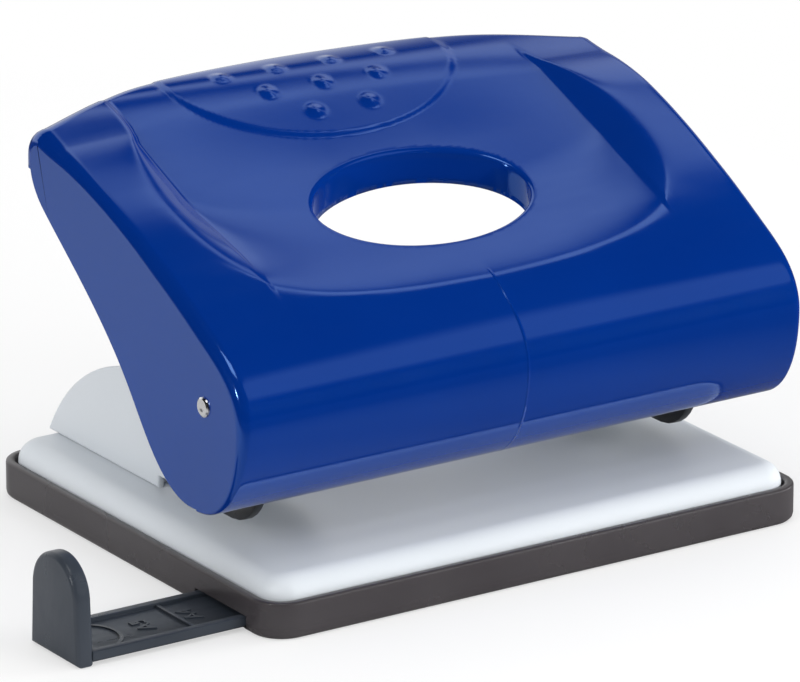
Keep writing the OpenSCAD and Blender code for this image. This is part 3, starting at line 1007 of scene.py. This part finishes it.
    def skin(self) -> BMesh:
        """Outer skin of the shell with its rounded ends and end walls, as one open sheet.

        Returns:
            The sheet in millimetres.
        """
        (wall, shoulder, end), (wide, narrow) = self.across_x, self.across_step
        half = np.concatenate([
            np.arange(0.0, wall, wide), np.arange(wall, shoulder, narrow),
            np.linspace(shoulder, end, 11),
        ]) / end
        spread = np.concatenate([-half[:0:-1], half])
        across, curl = len(spread) - 1, self.curl
        shape, radii = self.section(spread)
        rows = shape.shape[1]
        square = math.pi / 2
        total = across + 2 * curl
        place = np.zeros((total + 1, rows, 3))
        place[curl:curl + across + 1] = shape
        for side, base in ((-1, 0), (1, across)):
            line = shape[base, :, 1:]
            tangent = np.gradient(line, axis=0)
            tangent /= np.linalg.norm(tangent, axis=1)[:, None]
            inward = np.stack([tangent[:, 1], -tangent[:, 0]], 1)
            for k in range(1, curl + 1):
                a = k / curl * square
                column = curl + across + k if side > 0 else curl - k
                place[column, :, 0] = side * (self.half_len - radii * (1 - math.sin(a)))
                place[column, :, 1:] = line + inward * (radii * (1 - math.cos(a)))[:, None]
        bm = bmesh.new()
        bmesh.ops.create_grid(bm, x_segments=total, y_segments=rows - 1, size=0.5)
        ends: dict[int, list[BMVert]] = {0: [None] * rows, total: [None] * rows}
        for vert in bm.verts:
            i = int(round((vert.co.x + 0.5) * total))
            j = int(round((vert.co.y + 0.5) * (rows - 1)))
            vert.co = Vector(place[i, j])
            if i in ends:
                ends[i][j] = vert
        under = along(self.under, self.under_step)
        reach = np.linspace(0.0, 1.0, len(under))[:, None]
        near_first = np.clip(1 - reach / self.under_fit, 0, 1) ** 2
        near_last = np.clip(1 - (1 - reach) / self.under_fit, 0, 1) ** 2
        for verts in ends.values():
            first, last = np.array(verts[0].co)[1:], np.array(verts[-1].co)[1:]
            fit = under + near_first * (first - under[0]) + near_last * (last - under[-1])
            low = [bm.verts.new((verts[0].co.x, y, z)) for y, z in fit[1:-1]]
            chain = [verts[0], *low, verts[-1]]
            rim = [bm.edges.new(pair) for pair in zip(chain, chain[1:])]
            rim += [bm.edges.get(pair) for pair in zip(verts, verts[1:])]
            bmesh.ops.contextual_create(bm, geom=rim)
        return bm

    def oval(self, angle: float, grow: float) -> Point:
        """Point at an angle round the window's oval grown by a distance."""
        (cx, cy), (ax, ay) = self.window_centre, self.window_half
        return cx + (ax + grow) * math.cos(angle), cy + (ay + grow) * math.sin(angle)

    def open_window(self, bm: BMesh) -> None:
        """Cuts the oval window into the skin and turns its rim down into the collar.

        Args:
            bm: The skin.
        """
        (cx, cy), (ax, ay) = self.window_centre, self.window_half
        rim = self.window_rim

        def share(co: Vector, grow: float) -> float:
            """How far out a point lies, 1 on the oval grown by that distance."""
            return ((co.x - cx) / (ax + grow)) ** 2 + ((co.y - cy) / (ay + grow)) ** 2

        hole = [
            f for f in bm.faces
            if f.calc_center_median().z > self.top_z
            and all(share(v.co, rim + 0.35) < 1 for v in f.verts)
        ]
        bmesh.ops.delete(bm, geom=hole, context="FACES")
        ring = [
            e for e in bm.edges if e.is_boundary
            and all(share(v.co, rim + 3.0) < 1 and v.co.z > self.top_z for v in e.verts)
        ]
        turn = {
            v: math.atan2((v.co.y - cy) / (ay + rim), (v.co.x - cx) / (ax + rim))
            for e in ring for v in e.verts
        }
        for v, angle in turn.items():
            x, y = self.oval(angle, rim)
            v.co = Vector((x, y, self.height(x, y)))
        for v in bm.verts:
            if v not in turn and v.co.z > self.top_z and 0.98 < share(v.co, rim) < 1.25:
                v.co.z = self.height(v.co.x, v.co.y)
        steps = range(1, 6)
        bends = [math.pi / 2 * k / 5 for k in steps]
        stages = [(rim * (1 - math.sin(a)), rim * (1 - math.cos(a))) for a in bends]
        stages += [(0.0, rim + (self.collar_depth - rim) * k / 5) for k in steps]
        for grow, drop in stages:
            made = bmesh.ops.extrude_edge_only(bm, edges=ring)["geom"]
            fresh = [g for g in made if isinstance(g, BMVert)]
            turn = {
                v: next(turn[e.other_vert(v)] for e in v.link_edges if e.other_vert(v) in turn)
                for v in fresh
            }
            for v, angle in turn.items():
                (x, y), (edge_x, edge_y) = self.oval(angle, grow), self.oval(angle, rim)
                z = self.height(edge_x, edge_y) + self.floor_slope * (y - edge_y) - drop
                v.co = Vector((x, y, z))
            ring = [g for g in made if isinstance(g, BMEdge) and all(v in turn for v in g.verts)]

    def shell(self) -> Object:
        """Builds the moulded shell.

        Returns:
            The piece.
        """
        bm = self.skin()
        self.open_window(bm)
        close(bm, 1e-3)
        probe = max(bm.faces, key=lambda f: f.calc_center_median().z)
        if probe.normal.z < 0:
            bmesh.ops.reverse_faces(bm, faces=bm.faces)
        obj = piece("handle_skin", bm, self.finishes.plastic, Body.HANDLE,
                    ("handle_shell",), sharp=50.0)
        mesh = obj.data
        for face in mesh.polygons:
            if face.loop_total > 50:
                for loop in face.loop_indices:
                    mesh.edges[mesh.loops[loop].edge_index].use_edge_sharp = True
        wall = obj.modifiers.new("wall", "SOLIDIFY")
        wall.thickness = self.wall * MM
        wall.offset = -1.0
        edge = obj.modifiers.new("edge", "BEVEL")
        edge.width = 0.35 * MM
        edge.segments = 2
        edge.limit_method = "ANGLE"
        edge.angle_limit = math.radians(60.0)
        return obj

    def ribs(self) -> Object:
        """Builds the ribs that steady the handle beside the brackets and hold the press pins.

        Returns:
            The piece.
        """
        bm = bmesh.new()
        front_y, rear_y = self.rib_y
        outer, inner = self.rib_x
        beside = [(front_y, self.rib_z)] + [
            (float(y), float(self.crest((outer + inner) / 2, y)) - 1.2)
            for y in np.linspace(front_y, rear_y, 12)
        ] + [(rear_y, self.rib_z)]
        seat = [(-10.0, 48.2), (-7.4, 48.2), (-7.4, 50.0)] + [
            (-4.8 - 3.0 * math.cos(a), 50.0 + 3.0 * math.sin(a)) for a in np.linspace(0.55, 2.6, 9)
        ] + [(-2.2, 50.0), (-2.2, 48.2), (0.4, 48.2)]
        roof = [
            (y, self.floor_z + (y - self.floor_y) * self.floor_slope - 1.6) for y in (0.4, -10.0)
        ]
        seat_x, apart = self.seat_x
        for side in Side:
            s = side.value
            prism(bm, beside, min(s * outer, s * inner), max(s * outer, s * inner), 0.25)
            for x in (s * seat_x - apart, s * seat_x + apart):
                prism(bm, seat + roof, x - 1.0, x + 1.0, 0.2)
        return piece("handle_ribs", bm, self.finishes.plastic, Body.HANDLE)

    def rod(self) -> Object:
        """Builds the pivot rod with chamfered ends and clip grooves.

        Returns:
            The piece.
        """
        low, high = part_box("pivot_rod")
        end, r = high.x / MM, (high.z - low.z) / 2 / MM
        low_x, high_x = self.groove
        half = [(0.0, end - 0.16), (0.5, end - 0.14), (0.8, end - 0.04), (1.05, end),
                (r - 0.45, end), (r - 0.12, end - 0.2), (r, end - 0.55),
                (r, high_x), (r - 0.5, high_x), (r - 0.5, low_x), (r, low_x)]
        profile = [(a, -h) for a, h in half] + [(a, h) for a, h in reversed(half)]
        bm = bmesh.new()
        lathe(bm, profile, (0.0, self.pivot[0], self.pivot[1]), "X")
        return piece("steel_pivot_rod", bm, self.finishes.rod, Body.HANDLE,
                     ("pivot_rod",), 30.0)

    def build(self) -> None:
        """Builds and dresses the whole handle."""
        self.shell()
        self.ribs()
        self.rod()
        dress("rod_clips", self.finishes.dark)
        for side in Side:
            dress(f"{side.word}_press_pin", self.finishes.rod)


# ---- Base ----


@dataclass
class BaseFrame:
    """The painted base plate and the two riveted punch brackets."""

    finishes: Finishes
    length: float = 116.0
    width: float = 94.5
    low_z: float = 5.0
    bed_z: float = 11.0
    sheet: float = 1.5
    corner_r: float = 5.5
    edge_r: float = 4.0
    punch: Point = (40.0, -4.8)
    hole_r: float = 3.15
    back_centre: Point = (12.0, -8.0)
    back_r: float = 40.0
    eye: Point = (-31.0, 41.0)
    eye_r: float = 6.5
    slot_z: float = 13.4
    bracket_w: float = 18.0
    guide_r: float = 2.85
    eye_hole_r: float = 2.1
    foot_y: Point = (9.2, 45.3)
    slot_y: Point = (-13.8, 4.2)
    slot_t: float = 2.0
    upper_y: Point = (-11.8, 2.2)
    upper_z: Point = (33.0, 34.5)

    def plate(self) -> Object:
        """Builds the pressed plate with its softly rounded edge.

        Returns:
            The piece.
        """
        bm = bmesh.new()
        face = rounded_face(bm, self.length, self.width, self.corner_r, self.low_z)
        raise_face(bm, face, (0.0, 0.0, self.bed_z - self.low_z))
        close(bm)
        blunt(bm, level(bm.edges, self.bed_z), self.edge_r, 8)
        bmesh.ops.delete(bm, geom=level(bm.faces, self.low_z), context="FACES_ONLY")
        bed = largest(bm)
        bmesh.ops.inset_region(bm, faces=[bed], thickness=0.6, use_even_offset=True)
        bmesh.ops.recalc_face_normals(bm, faces=bm.faces)
        if bed.is_valid and bed.normal.z < 0:
            bmesh.ops.reverse_faces(bm, faces=bm.faces)
        bmesh.ops.solidify(bm, geom=bm.faces[:], thickness=self.sheet)
        obj = piece("base_sheet", bm, self.finishes.paint, Body.BASE,
                    ("base_plate",))
        holes = bmesh.new()
        for side in Side:
            bar(holes, self.hole_r, (5.5, 14.0), (side.value * self.punch[0], self.punch[1], 0.0))
        cut(obj, holes)
        return obj

    def cheek(self, outer: bool) -> list[Point]:
        """Side view of a bracket's cheek.

        Args:
            outer: Whether it is the cheek towards the end of the punch.

        Returns:
            Its outline as (y, z) points.
        """
        (by, bz), r = self.back_centre, self.back_r
        foot = math.asin((self.bed_z - bz) / r)
        back = [(by + r * math.cos(a), bz + r * math.sin(a)) for a in np.linspace(foot, 1.265, 22)]
        (ey, ez) = self.eye
        eye = [(ey + self.eye_r * math.cos(a), ez + self.eye_r * math.sin(a))
               for a in np.linspace(1.21, 3.59, 14)]
        if outer:
            jaw = cubic((-29.3, 23.6), (-27.6, 19.0), (-25.8, 13.9), (-18.8, self.slot_z), 8)
        else:
            jaw = cubic((-29.3, 26.0), (-26.5, 19.0), (-20.5, 14.0), (-14.0, self.slot_z), 8)
        return back + eye + jaw + [
            (-18.8 if outer else -14.0, self.slot_z), (7.2, self.slot_z), (7.2, self.bed_z),
        ]

    def bracket(self, side: Side) -> Object:
        """Builds one folded bracket.

        Args:
            side: Which end of the punch it is for.

        Returns:
            The piece.
        """
        bm = bmesh.new()
        x, t = side.value * self.punch[0], self.sheet
        half = self.bracket_w / 2
        for s in (-1, 1):
            outer, inner = x + s * half, x + s * (half - t)
            prism(bm, self.cheek(s == side.value), min(outer, inner), max(outer, inner), 0.55, 3)
        inner = half - t + 0.3
        for (front, rear), (low, high) in (
            (self.foot_y, (self.bed_z, self.bed_z + t)),
            (self.slot_y, (self.slot_z, self.slot_z + self.slot_t)), (self.upper_y, self.upper_z),
        ):
            box(bm, (x - inner, front, low), (x + inner, rear, high), 0.2)
        obj = piece(f"{side.word}_bracket", bm, self.finishes.paint, Body.BASE,
                    (f"{side.word}_punch_bracket",))
        holes = bmesh.new()
        bar(holes, self.guide_r, (12.9, 36.0), (x, self.punch[1], 0.0))
        bar(holes, self.eye_hole_r, (x - 12.0, x + 12.0), (0.0, *self.eye), "X")
        cut(obj, holes)
        return obj

    def throat_shade_strip(self, side: Side) -> Object:
        """Builds a black strip of painted shade in the throat of a bracket's outer cheek, where the
        nose shades it.

        Args:
            side: Which end of the punch it is for.

        Returns:
            The piece.
        """
        # The strip is painted shade: a black piece laid where only the nose's shadow falls on the
        # throat.
        bm = bmesh.new()
        run = [p for p in self.cheek(True) if p[1] < 19.0 and -28.5 < p[0] < -18.0]
        run.append((-10.0, self.slot_z))
        x = side.value * (self.punch[0] + self.bracket_w / 2 - self.sheet / 2)
        inner = [(y + 1.1, z + 1.5) for y, z in run]
        prism(bm, [(y - 0.25, z - 0.3) for y, z in run] + inner[::-1], x - 1.0, x + 1.0, 0.3)
        return piece(f"{side.word}_throat_painted_shade", bm, self.finishes.black, Body.BASE)

    def build(self) -> None:
        """Builds and dresses the base."""
        self.plate()
        for side in Side:
            self.bracket(side)
            # Black strip of painted shade under the nose at each throat.
            self.throat_shade_strip(side)
            dress(f"{side.word}_die_plate", self.finishes.die)
        dress("bracket_rivets", self.finishes.rivet)


# ---- Punches ----


@dataclass
class PunchHead:
    """One punch with its washer, ring and return spring."""

    finishes: Finishes
    side: Side
    centre: Point = (40.0, -4.8)
    spring_r: float = 3.75
    wire_r: float = 0.5
    turns: int = 6
    per_turn: int = 28
    low_z: float = 15.4
    high_z: float = 31.1
    stroke: float = 7.32

    def spring(self) -> Object:
        """Winds the return spring with closed end turns.

        Returns:
            The piece.
        """
        bm = bmesh.new()
        x, y = self.side.value * self.centre[0], self.centre[1]
        wire = bmesh.ops.create_circle(bm, cap_ends=False, segments=10, radius=self.wire_r)["verts"]
        upright = Matrix.Rotation(math.pi / 2, 3, "X")
        bmesh.ops.rotate(bm, cent=(0, 0, 0), matrix=upright, verts=wire)
        bmesh.ops.translate(bm, vec=(x + self.spring_r, y, self.low_z + self.wire_r), verts=wire)
        start = wire[:]
        wire_d = 2 * self.wire_r
        rise = self.high_z - self.low_z - wire_d
        inner = (rise - 2 * wire_d) / (self.turns - 2)
        geom = wire + bm.edges[:]
        for turns, pitch in ((1, wire_d), (self.turns - 2, inner), (1, wire_d)):
            geom = bmesh.ops.spin(
                bm, geom=geom, cent=(x, y, 0.0), axis=(0, 0, 1), dvec=(0, 0, pitch / self.per_turn),
                angle=2 * math.pi * turns, steps=self.per_turn * turns,
                use_merge=False, use_duplicate=False,
            )["geom_last"]
        last = [g for g in geom if isinstance(g, BMVert)]
        for ring in (start, last):
            bmesh.ops.contextual_create(bm, geom=ring)
        bmesh.ops.recalc_face_normals(bm, faces=bm.faces)
        word = self.side.word
        obj = piece(f"{word}_coil", bm, self.finishes.spring, Body.BASE,
                    (f"{word}_return_spring",))
        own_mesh(obj)
        return obj

    def build(self) -> None:
        """Builds the spring and dresses the punch, washer and ring."""
        self.spring()
        word = self.side.word
        dress(f"{word}_punch_pin", self.finishes.punch)
        dress(f"{word}_spring_washer", self.finishes.spring)
        dress(f"{word}_retaining_ring", self.finishes.dark)


# ---- Chip tray ----


@dataclass
class ChipTray:
    """The smoke-tinted tray that clips under the base."""

    finishes: Finishes
    length: float = 120.0
    width: float = 98.5
    height: float = 7.2
    corner_r: float = 6.5
    foot: float = 1.2
    rim: float = 1.8
    ledge_z: float = 5.0
    ledge: float = 1.8
    rim_r: float = 0.5
    floor: float = 1.2
    channel_y: float = -32.05
    channel_half: float = 8.8
    channel_top: float = 3.1
    channel_end: float = 55.0

    def build(self) -> None:
        """Builds the tray with its rim, ledge, floor and guide channel."""
        bm = bmesh.new()
        face = rounded_face(bm, self.length, self.width, self.corner_r, 0.0)
        raise_face(bm, face, (0.0, 0.0, self.height))
        close(bm)
        top = max(bm.faces, key=lambda f: (f.calc_area() > 1000, f.calc_center_median().z))
        ledge = step_face(bm, top, self.rim, self.ledge_z - self.height)
        step_face(bm, ledge, self.ledge, self.floor - self.ledge_z)
        blunt(bm, level(bm.edges, 0.0), self.foot, 3)
        rim = [e for e in level(bm.edges, self.height) if e.calc_face_angle(0.0) > 0.5]
        blunt(bm, rim, self.rim_r, 3)
        reach = self.channel_half + 1.0
        low, high = self.channel_y - reach, self.channel_y + reach
        box(bm, (-self.length / 2 + 1.0, low, 0.6),
            (self.channel_end + 1.0, high, self.channel_top + 1.0), 0.15)
        obj = piece("smoke_tray", bm, self.finishes.smoke, Body.TRAY,
                    ("chip_tray",))
        channel = bmesh.new()
        box(channel, (-self.length, low + 1.0, 0.8),
            (self.channel_end, high - 1.0, self.channel_top))
        box(channel, (-self.length, low + 2.2, -1.0), (self.channel_end, high - 2.2, 2.0))
        cut(obj, channel)


# ---- Paper guide ----


@dataclass
class PaperGuide:
    """The pull-out paper guide with its stop, index line and size marks."""

    finishes: Finishes
    start_x: float = -95.5
    end_x: float = 20.5
    mid_y: float = -32.05
    width: float = 16.6
    foot_z: float = 0.2
    top_z: float = 2.8
    rim: float = 1.8
    recess: float = 0.8
    stop_t: float = 3.6
    stop_top: float = 19.8
    stop_half: float = 7.7
    tick_x: float = -69.94
    thumb_r: float = 7.0
    mark_x: tuple[float, ...] = (-76.6, -66.6)
    mark_words: tuple[str, ...] = ("A5", "A4")
    mark_size: Point = (4.6, 0.16)

    def strip(self, bm: BMesh) -> None:
        """Adds the strip with its raised long edges.

        Args:
            bm: Mesh to add to.
        """
        half, start_x = self.width / 2, self.start_x + self.stop_t - 0.3
        part = block((start_x, self.mid_y - half, 1.1), (self.end_x, self.mid_y + half, self.top_z))
        top = max(part.faces, key=lambda f: f.calc_center_median().z)
        step_face(part, top, self.rim, -self.recess)
        part.normal_update()
        soft = [e for e in part.edges if e.is_manifold and e.calc_face_angle(0.0) > 0.5
                and max(v.co.z for v in e.verts) > self.top_z - self.recess - 0.01]
        blunt(part, soft, 0.22)
        merge_in(bm, part)
        box(bm, (start_x, self.mid_y - half + 1.5, self.foot_z),
            (self.end_x, self.mid_y + half - 1.5, 1.4), 0.15)
        box(bm, (self.tick_x, self.mid_y - half + 1.6, self.top_z - self.recess - 0.1),
            (self.tick_x + 0.8, self.mid_y + half - 1.6, self.top_z - 0.3), 0.12)

    def stop(self, bm: BMesh) -> None:
        """Adds the upright stop with its round top.

        Args:
            bm: Mesh to add to.
        """
        foot, half = self.width / 2, self.stop_half
        arch = [(self.mid_y + half * math.cos(a), self.stop_top - half + half * math.sin(a))
                for a in np.linspace(0.0, math.pi, 33)]
        outline = arch + [(self.mid_y - foot, self.foot_z), (self.mid_y + foot, self.foot_z)]
        prism(bm, outline, self.start_x, self.start_x + self.stop_t, 0.9, 4)

    def thumb_line(self, bm: BMesh) -> None:
        """Adds the raised half ring that guides the thumb.

        Args:
            bm: Mesh to add to.
        """
        part = bmesh.new()
        base = self.top_z - self.recess - 0.1
        x, y = self.start_x + self.stop_t + 3.0, self.mid_y
        half = self.thumb_r
        corners = [part.verts.new((x, y - half + d, base + h))
                   for d, h in ((0, 0), (0, 0.35), (0.7, 0.35), (0.7, 0))]
        face = part.faces.new(corners)
        bmesh.ops.spin(part, geom=[face, *face.verts, *face.edges], cent=(x, y, 0), axis=(0, 0, 1),
                       angle=math.pi, steps=20, use_merge=False, use_duplicate=False)
        bmesh.ops.recalc_face_normals(part, faces=part.faces)
        merge_in(bm, part)

    def marks(self) -> Object:
        """Raises the generic paper-size marks beside the index line.

        Returns:
            The piece.
        """
        bm = bmesh.new()
        for word, x in zip(self.mark_words, self.mark_x):
            curve = bpy.data.curves.new("mark", "FONT")
            curve.body = word
            curve.size, curve.extrude = self.mark_size
            curve.offset = 0.02
            curve.resolution_u = 3
            curve.align_x = curve.align_y = "CENTER"
            holder = link_new("mark", curve)
            bpy.context.view_layer.update()
            mesh = bpy.data.meshes.new_from_object(holder)
            bpy.data.objects.remove(holder)
            bpy.data.curves.remove(curve)
            mesh.transform(Matrix.Translation((x, self.mid_y, self.top_z - self.recess + 0.06))
                           @ Matrix.Rotation(math.pi / 2, 4, "Z"))
            bm.from_mesh(mesh)
            bpy.data.meshes.remove(mesh)
        close(bm)
        return piece("guide_marks", bm, self.finishes.slate, Body.GUIDE)

    def build(self) -> None:
        """Builds the guide."""
        bm = bmesh.new()
        self.strip(bm)
        self.stop(bm)
        self.thumb_line(bm)
        piece("guide_strip", bm, self.finishes.slate, Body.GUIDE, ("paper_guide",))
        self.marks()


# ---- Studio ----


@dataclass
class Studio:
    """Camera, floor, lamps and surroundings.

    Each of the mirrored boxes has its span round the object and its span of height in degrees,
    the softness of its borders and its brightness.
    """

    aim: Solid = (0.0, 0.0, 0.030)
    towards: Solid = (-0.5200, -0.7898, 0.3253)
    distance: float = 1.5
    lens: float = 357.8
    slide: Point = (0.34, 2.77)
    ambient: float = 0.60
    sheet_centre: Point = (-0.055, 0.085)
    sheet_fade: Point = (0.19, 0.25)
    sheet_front: Point = (-0.05, 0.06)
    sheet_gloss: Point = (0.60, 0.20)
    sheet_lift: float = 0.50
    sheet_way: Solid = (0.5, -0.866, 0.0)
    sheet_tone: Solid = (0.90, 0.90, 0.90)
    sheet_glow: float = 0.05
    sheet_r: float = 0.62
    mirrored: tuple = (
        ((30.0, 56.0), (-8.0, 24.0), 6.0, 0.45),
        ((56.5, 125.0), (-4.0, 36.5), 3.5, 1.05),
        ((50.0, 105.0), (36.5, 50.0), 3.0, 0.92),
        ((37.0, 49.5), (26.0, 41.0), 2.6, 0.88),
        ((22.0, 42.0), (42.5, 51.0), 3.2, 0.74),
        ((38.0, 50.0), (48.5, 55.0), 3.0, 0.50),
        ((17.0, 27.0), (52.5, 57.0), 1.5, 1.15),
        ((-62.0, -30.0), (26.0, 50.0), 4.0, 0.42),
    )
    lamps: tuple = (
        ("top_soft_box", (-0.20, -0.30, 1.20), (0.45, 0.40), 1.8, True),
        ("rear_soft_box", (0.50, 0.70, 1.00), (0.90, 0.60), 2.0, False),
        ("front_soft_box", (0.55, -1.20, 0.32), (0.90, 0.40), 10.0, False),
        ("left_soft_box", (-1.25, 0.10, 0.50), (0.60, 0.50), 5.0, False),
        ("left_lamp", (-1.10, -0.42, 0.60), (0.10, 0.16), 2.0, True),
        ("right_soft_box", (1.25, -0.40, 0.24), (0.60, 0.34), 13.0, False),
    )

    def camera(self) -> None:
        """Sets up the camera."""
        back = Vector(self.towards).normalized()
        turn = back.to_track_quat("Z", "Y")
        right, up = turn @ Vector((1, 0, 0)), turn @ Vector((0, 1, 0))
        centre = Vector(self.aim) + right * self.slide[0] * MM + up * self.slide[1] * MM
        data = bpy.data.cameras.new("camera")
        data.lens = self.lens
        data.sensor_width = 36.0
        data.sensor_fit = "HORIZONTAL"
        data.clip_start = 0.05
        data.clip_end = 30.0
        obj = link_new("camera", data)
        obj.location = centre + back * self.distance
        obj.rotation_euler = turn.to_euler()
        bpy.context.scene.camera = obj

    def lamp(self, name: str, at: tuple, size: Point, power: float, mirrored: bool) -> None:
        """Adds a soft box that faces the object.

        Args:
            name: Name of the lamp.
            at: Its place in metres.
            size: Width and height in metres.
            power: Power in watts.
            mirrored: Whether glossy surfaces mirror it.
        """
        data = bpy.data.lights.new(name, "AREA")
        data.shape = "RECTANGLE"
        data.size, data.size_y = size
        data.energy = power
        obj = link_new(name, data)
        obj.visible_glossy = mirrored
        obj.location = at
        obj.rotation_euler = (Vector(at) - Vector(self.aim)).to_track_quat("Z", "Y").to_euler()

    def floor(self) -> None:
        """Lays a pale sheet that ends softly in the white around it."""
        bm = bmesh.new()
        bmesh.ops.create_circle(bm, cap_ends=True, segments=96, radius=self.sheet_r)
        bmesh.ops.translate(bm, vec=(*self.sheet_centre, 0.0), verts=bm.verts)
        mesh = bpy.data.meshes.new("floor")
        bm.to_mesh(mesh)
        bm.free()
        obj = link_new("floor", mesh)
        board = NodeBoard(bpy.data.materials.new("pale_floor"))
        path = board.add("LightPath")
        ahead = board.reach("DOT_PRODUCT", self.sheet_way)
        gloss = board.ramp(ahead, *self.sheet_gloss, self.sheet_front)
        tone = board.tint(path["Is Glossy Ray"], self.sheet_tone, gloss)
        seen = board.math("MAXIMUM", path["Is Camera Ray"], path["Is Transmission Ray"])
        glow = board.ramp(seen, self.sheet_glow, 1.0, (0.0, 1.0))
        out = board.reach("DISTANCE", (*self.sheet_centre, 0.0))
        fade = board.ramp(out, 0.0, 1.0, self.sheet_fade)
        lift = board.math("MULTIPLY", path["Is Camera Ray"], self.sheet_lift)
        mesh.materials.append(board.finish(board.blend(
            board.math("MAXIMUM", lift, fade), board.add("BsdfDiffuse", {"Color": tone})[0],
            board.add("Emission", {"Strength": glow})[0],
        )))

    def surroundings(self) -> None:
        """Sets the even light, the boxes that only gloss mirrors and the white background."""
        world = bpy.data.worlds.new("studio")
        bpy.context.scene.world = world
        board = NodeBoard(world)
        axes = board.add("SeparateXYZ", {0: board.coords["Generated"]})
        path = board.add("LightPath")
        degrees = 180 / math.pi
        turn = board.math("MULTIPLY", board.math("ARCTAN2", axes["Y"], axes["X"]), degrees)
        rise = board.math("MULTIPLY", board.math("ARCSINE", axes["Z"]), degrees)
        glow: Socket | float = 0.0
        for turns, rises, soft, power in self.mirrored:
            lit: Socket | float = power
            for value, marks in ((turn, turns), (rise, rises)):
                for mark, ends in zip(marks, ((0.0, 1.0), (1.0, 0.0))):
                    border = board.ramp(value, *ends, (mark - soft, mark + soft),
                                        interpolation_type="SMOOTHSTEP")
                    lit = board.math("MULTIPLY", border, lit)
            glow = board.math("ADD", glow, lit)
        even, boxes, white = (
            board.add("Background", {"Color": WHITE, "Strength": strength})[0]
            for strength in (self.ambient, glow, 1.0)
        )
        seen = board.math("MAXIMUM", path["Is Camera Ray"], path["Is Transmission Ray"])
        around = board.blend(path["Is Glossy Ray"], even, boxes)
        board.finish(board.blend(seen, around, white), "OutputWorld")

    def build(self) -> None:
        """Builds the studio."""
        self.camera()
        self.floor()
        self.surroundings()
        for lamp in self.lamps:
            self.lamp(*lamp)
        view = bpy.context.scene.view_settings
        view.view_transform = "Standard"
        log.info("studio ready")


def corners(bounds: tuple) -> list[list[float]]:
    """Two corners of a box as plain lists."""
    return [[float(v) for v in corner] for corner in bounds]


def main() -> None:
    """Builds the punch piece by piece."""
    logging.basicConfig(level=logging.INFO, format="%(message)s")
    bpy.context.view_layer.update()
    finishes = Finishes()
    Studio().build()
    ChipTray(finishes).build()
    PaperGuide(finishes).build()
    BaseFrame(finishes).build()
    for side in Side:
        PunchHead(finishes, side).build()
    PressHandle(finishes).build()
    bpy.context.view_layer.update()
    log.info("model ready")


if __name__ == "__main__":
    main()
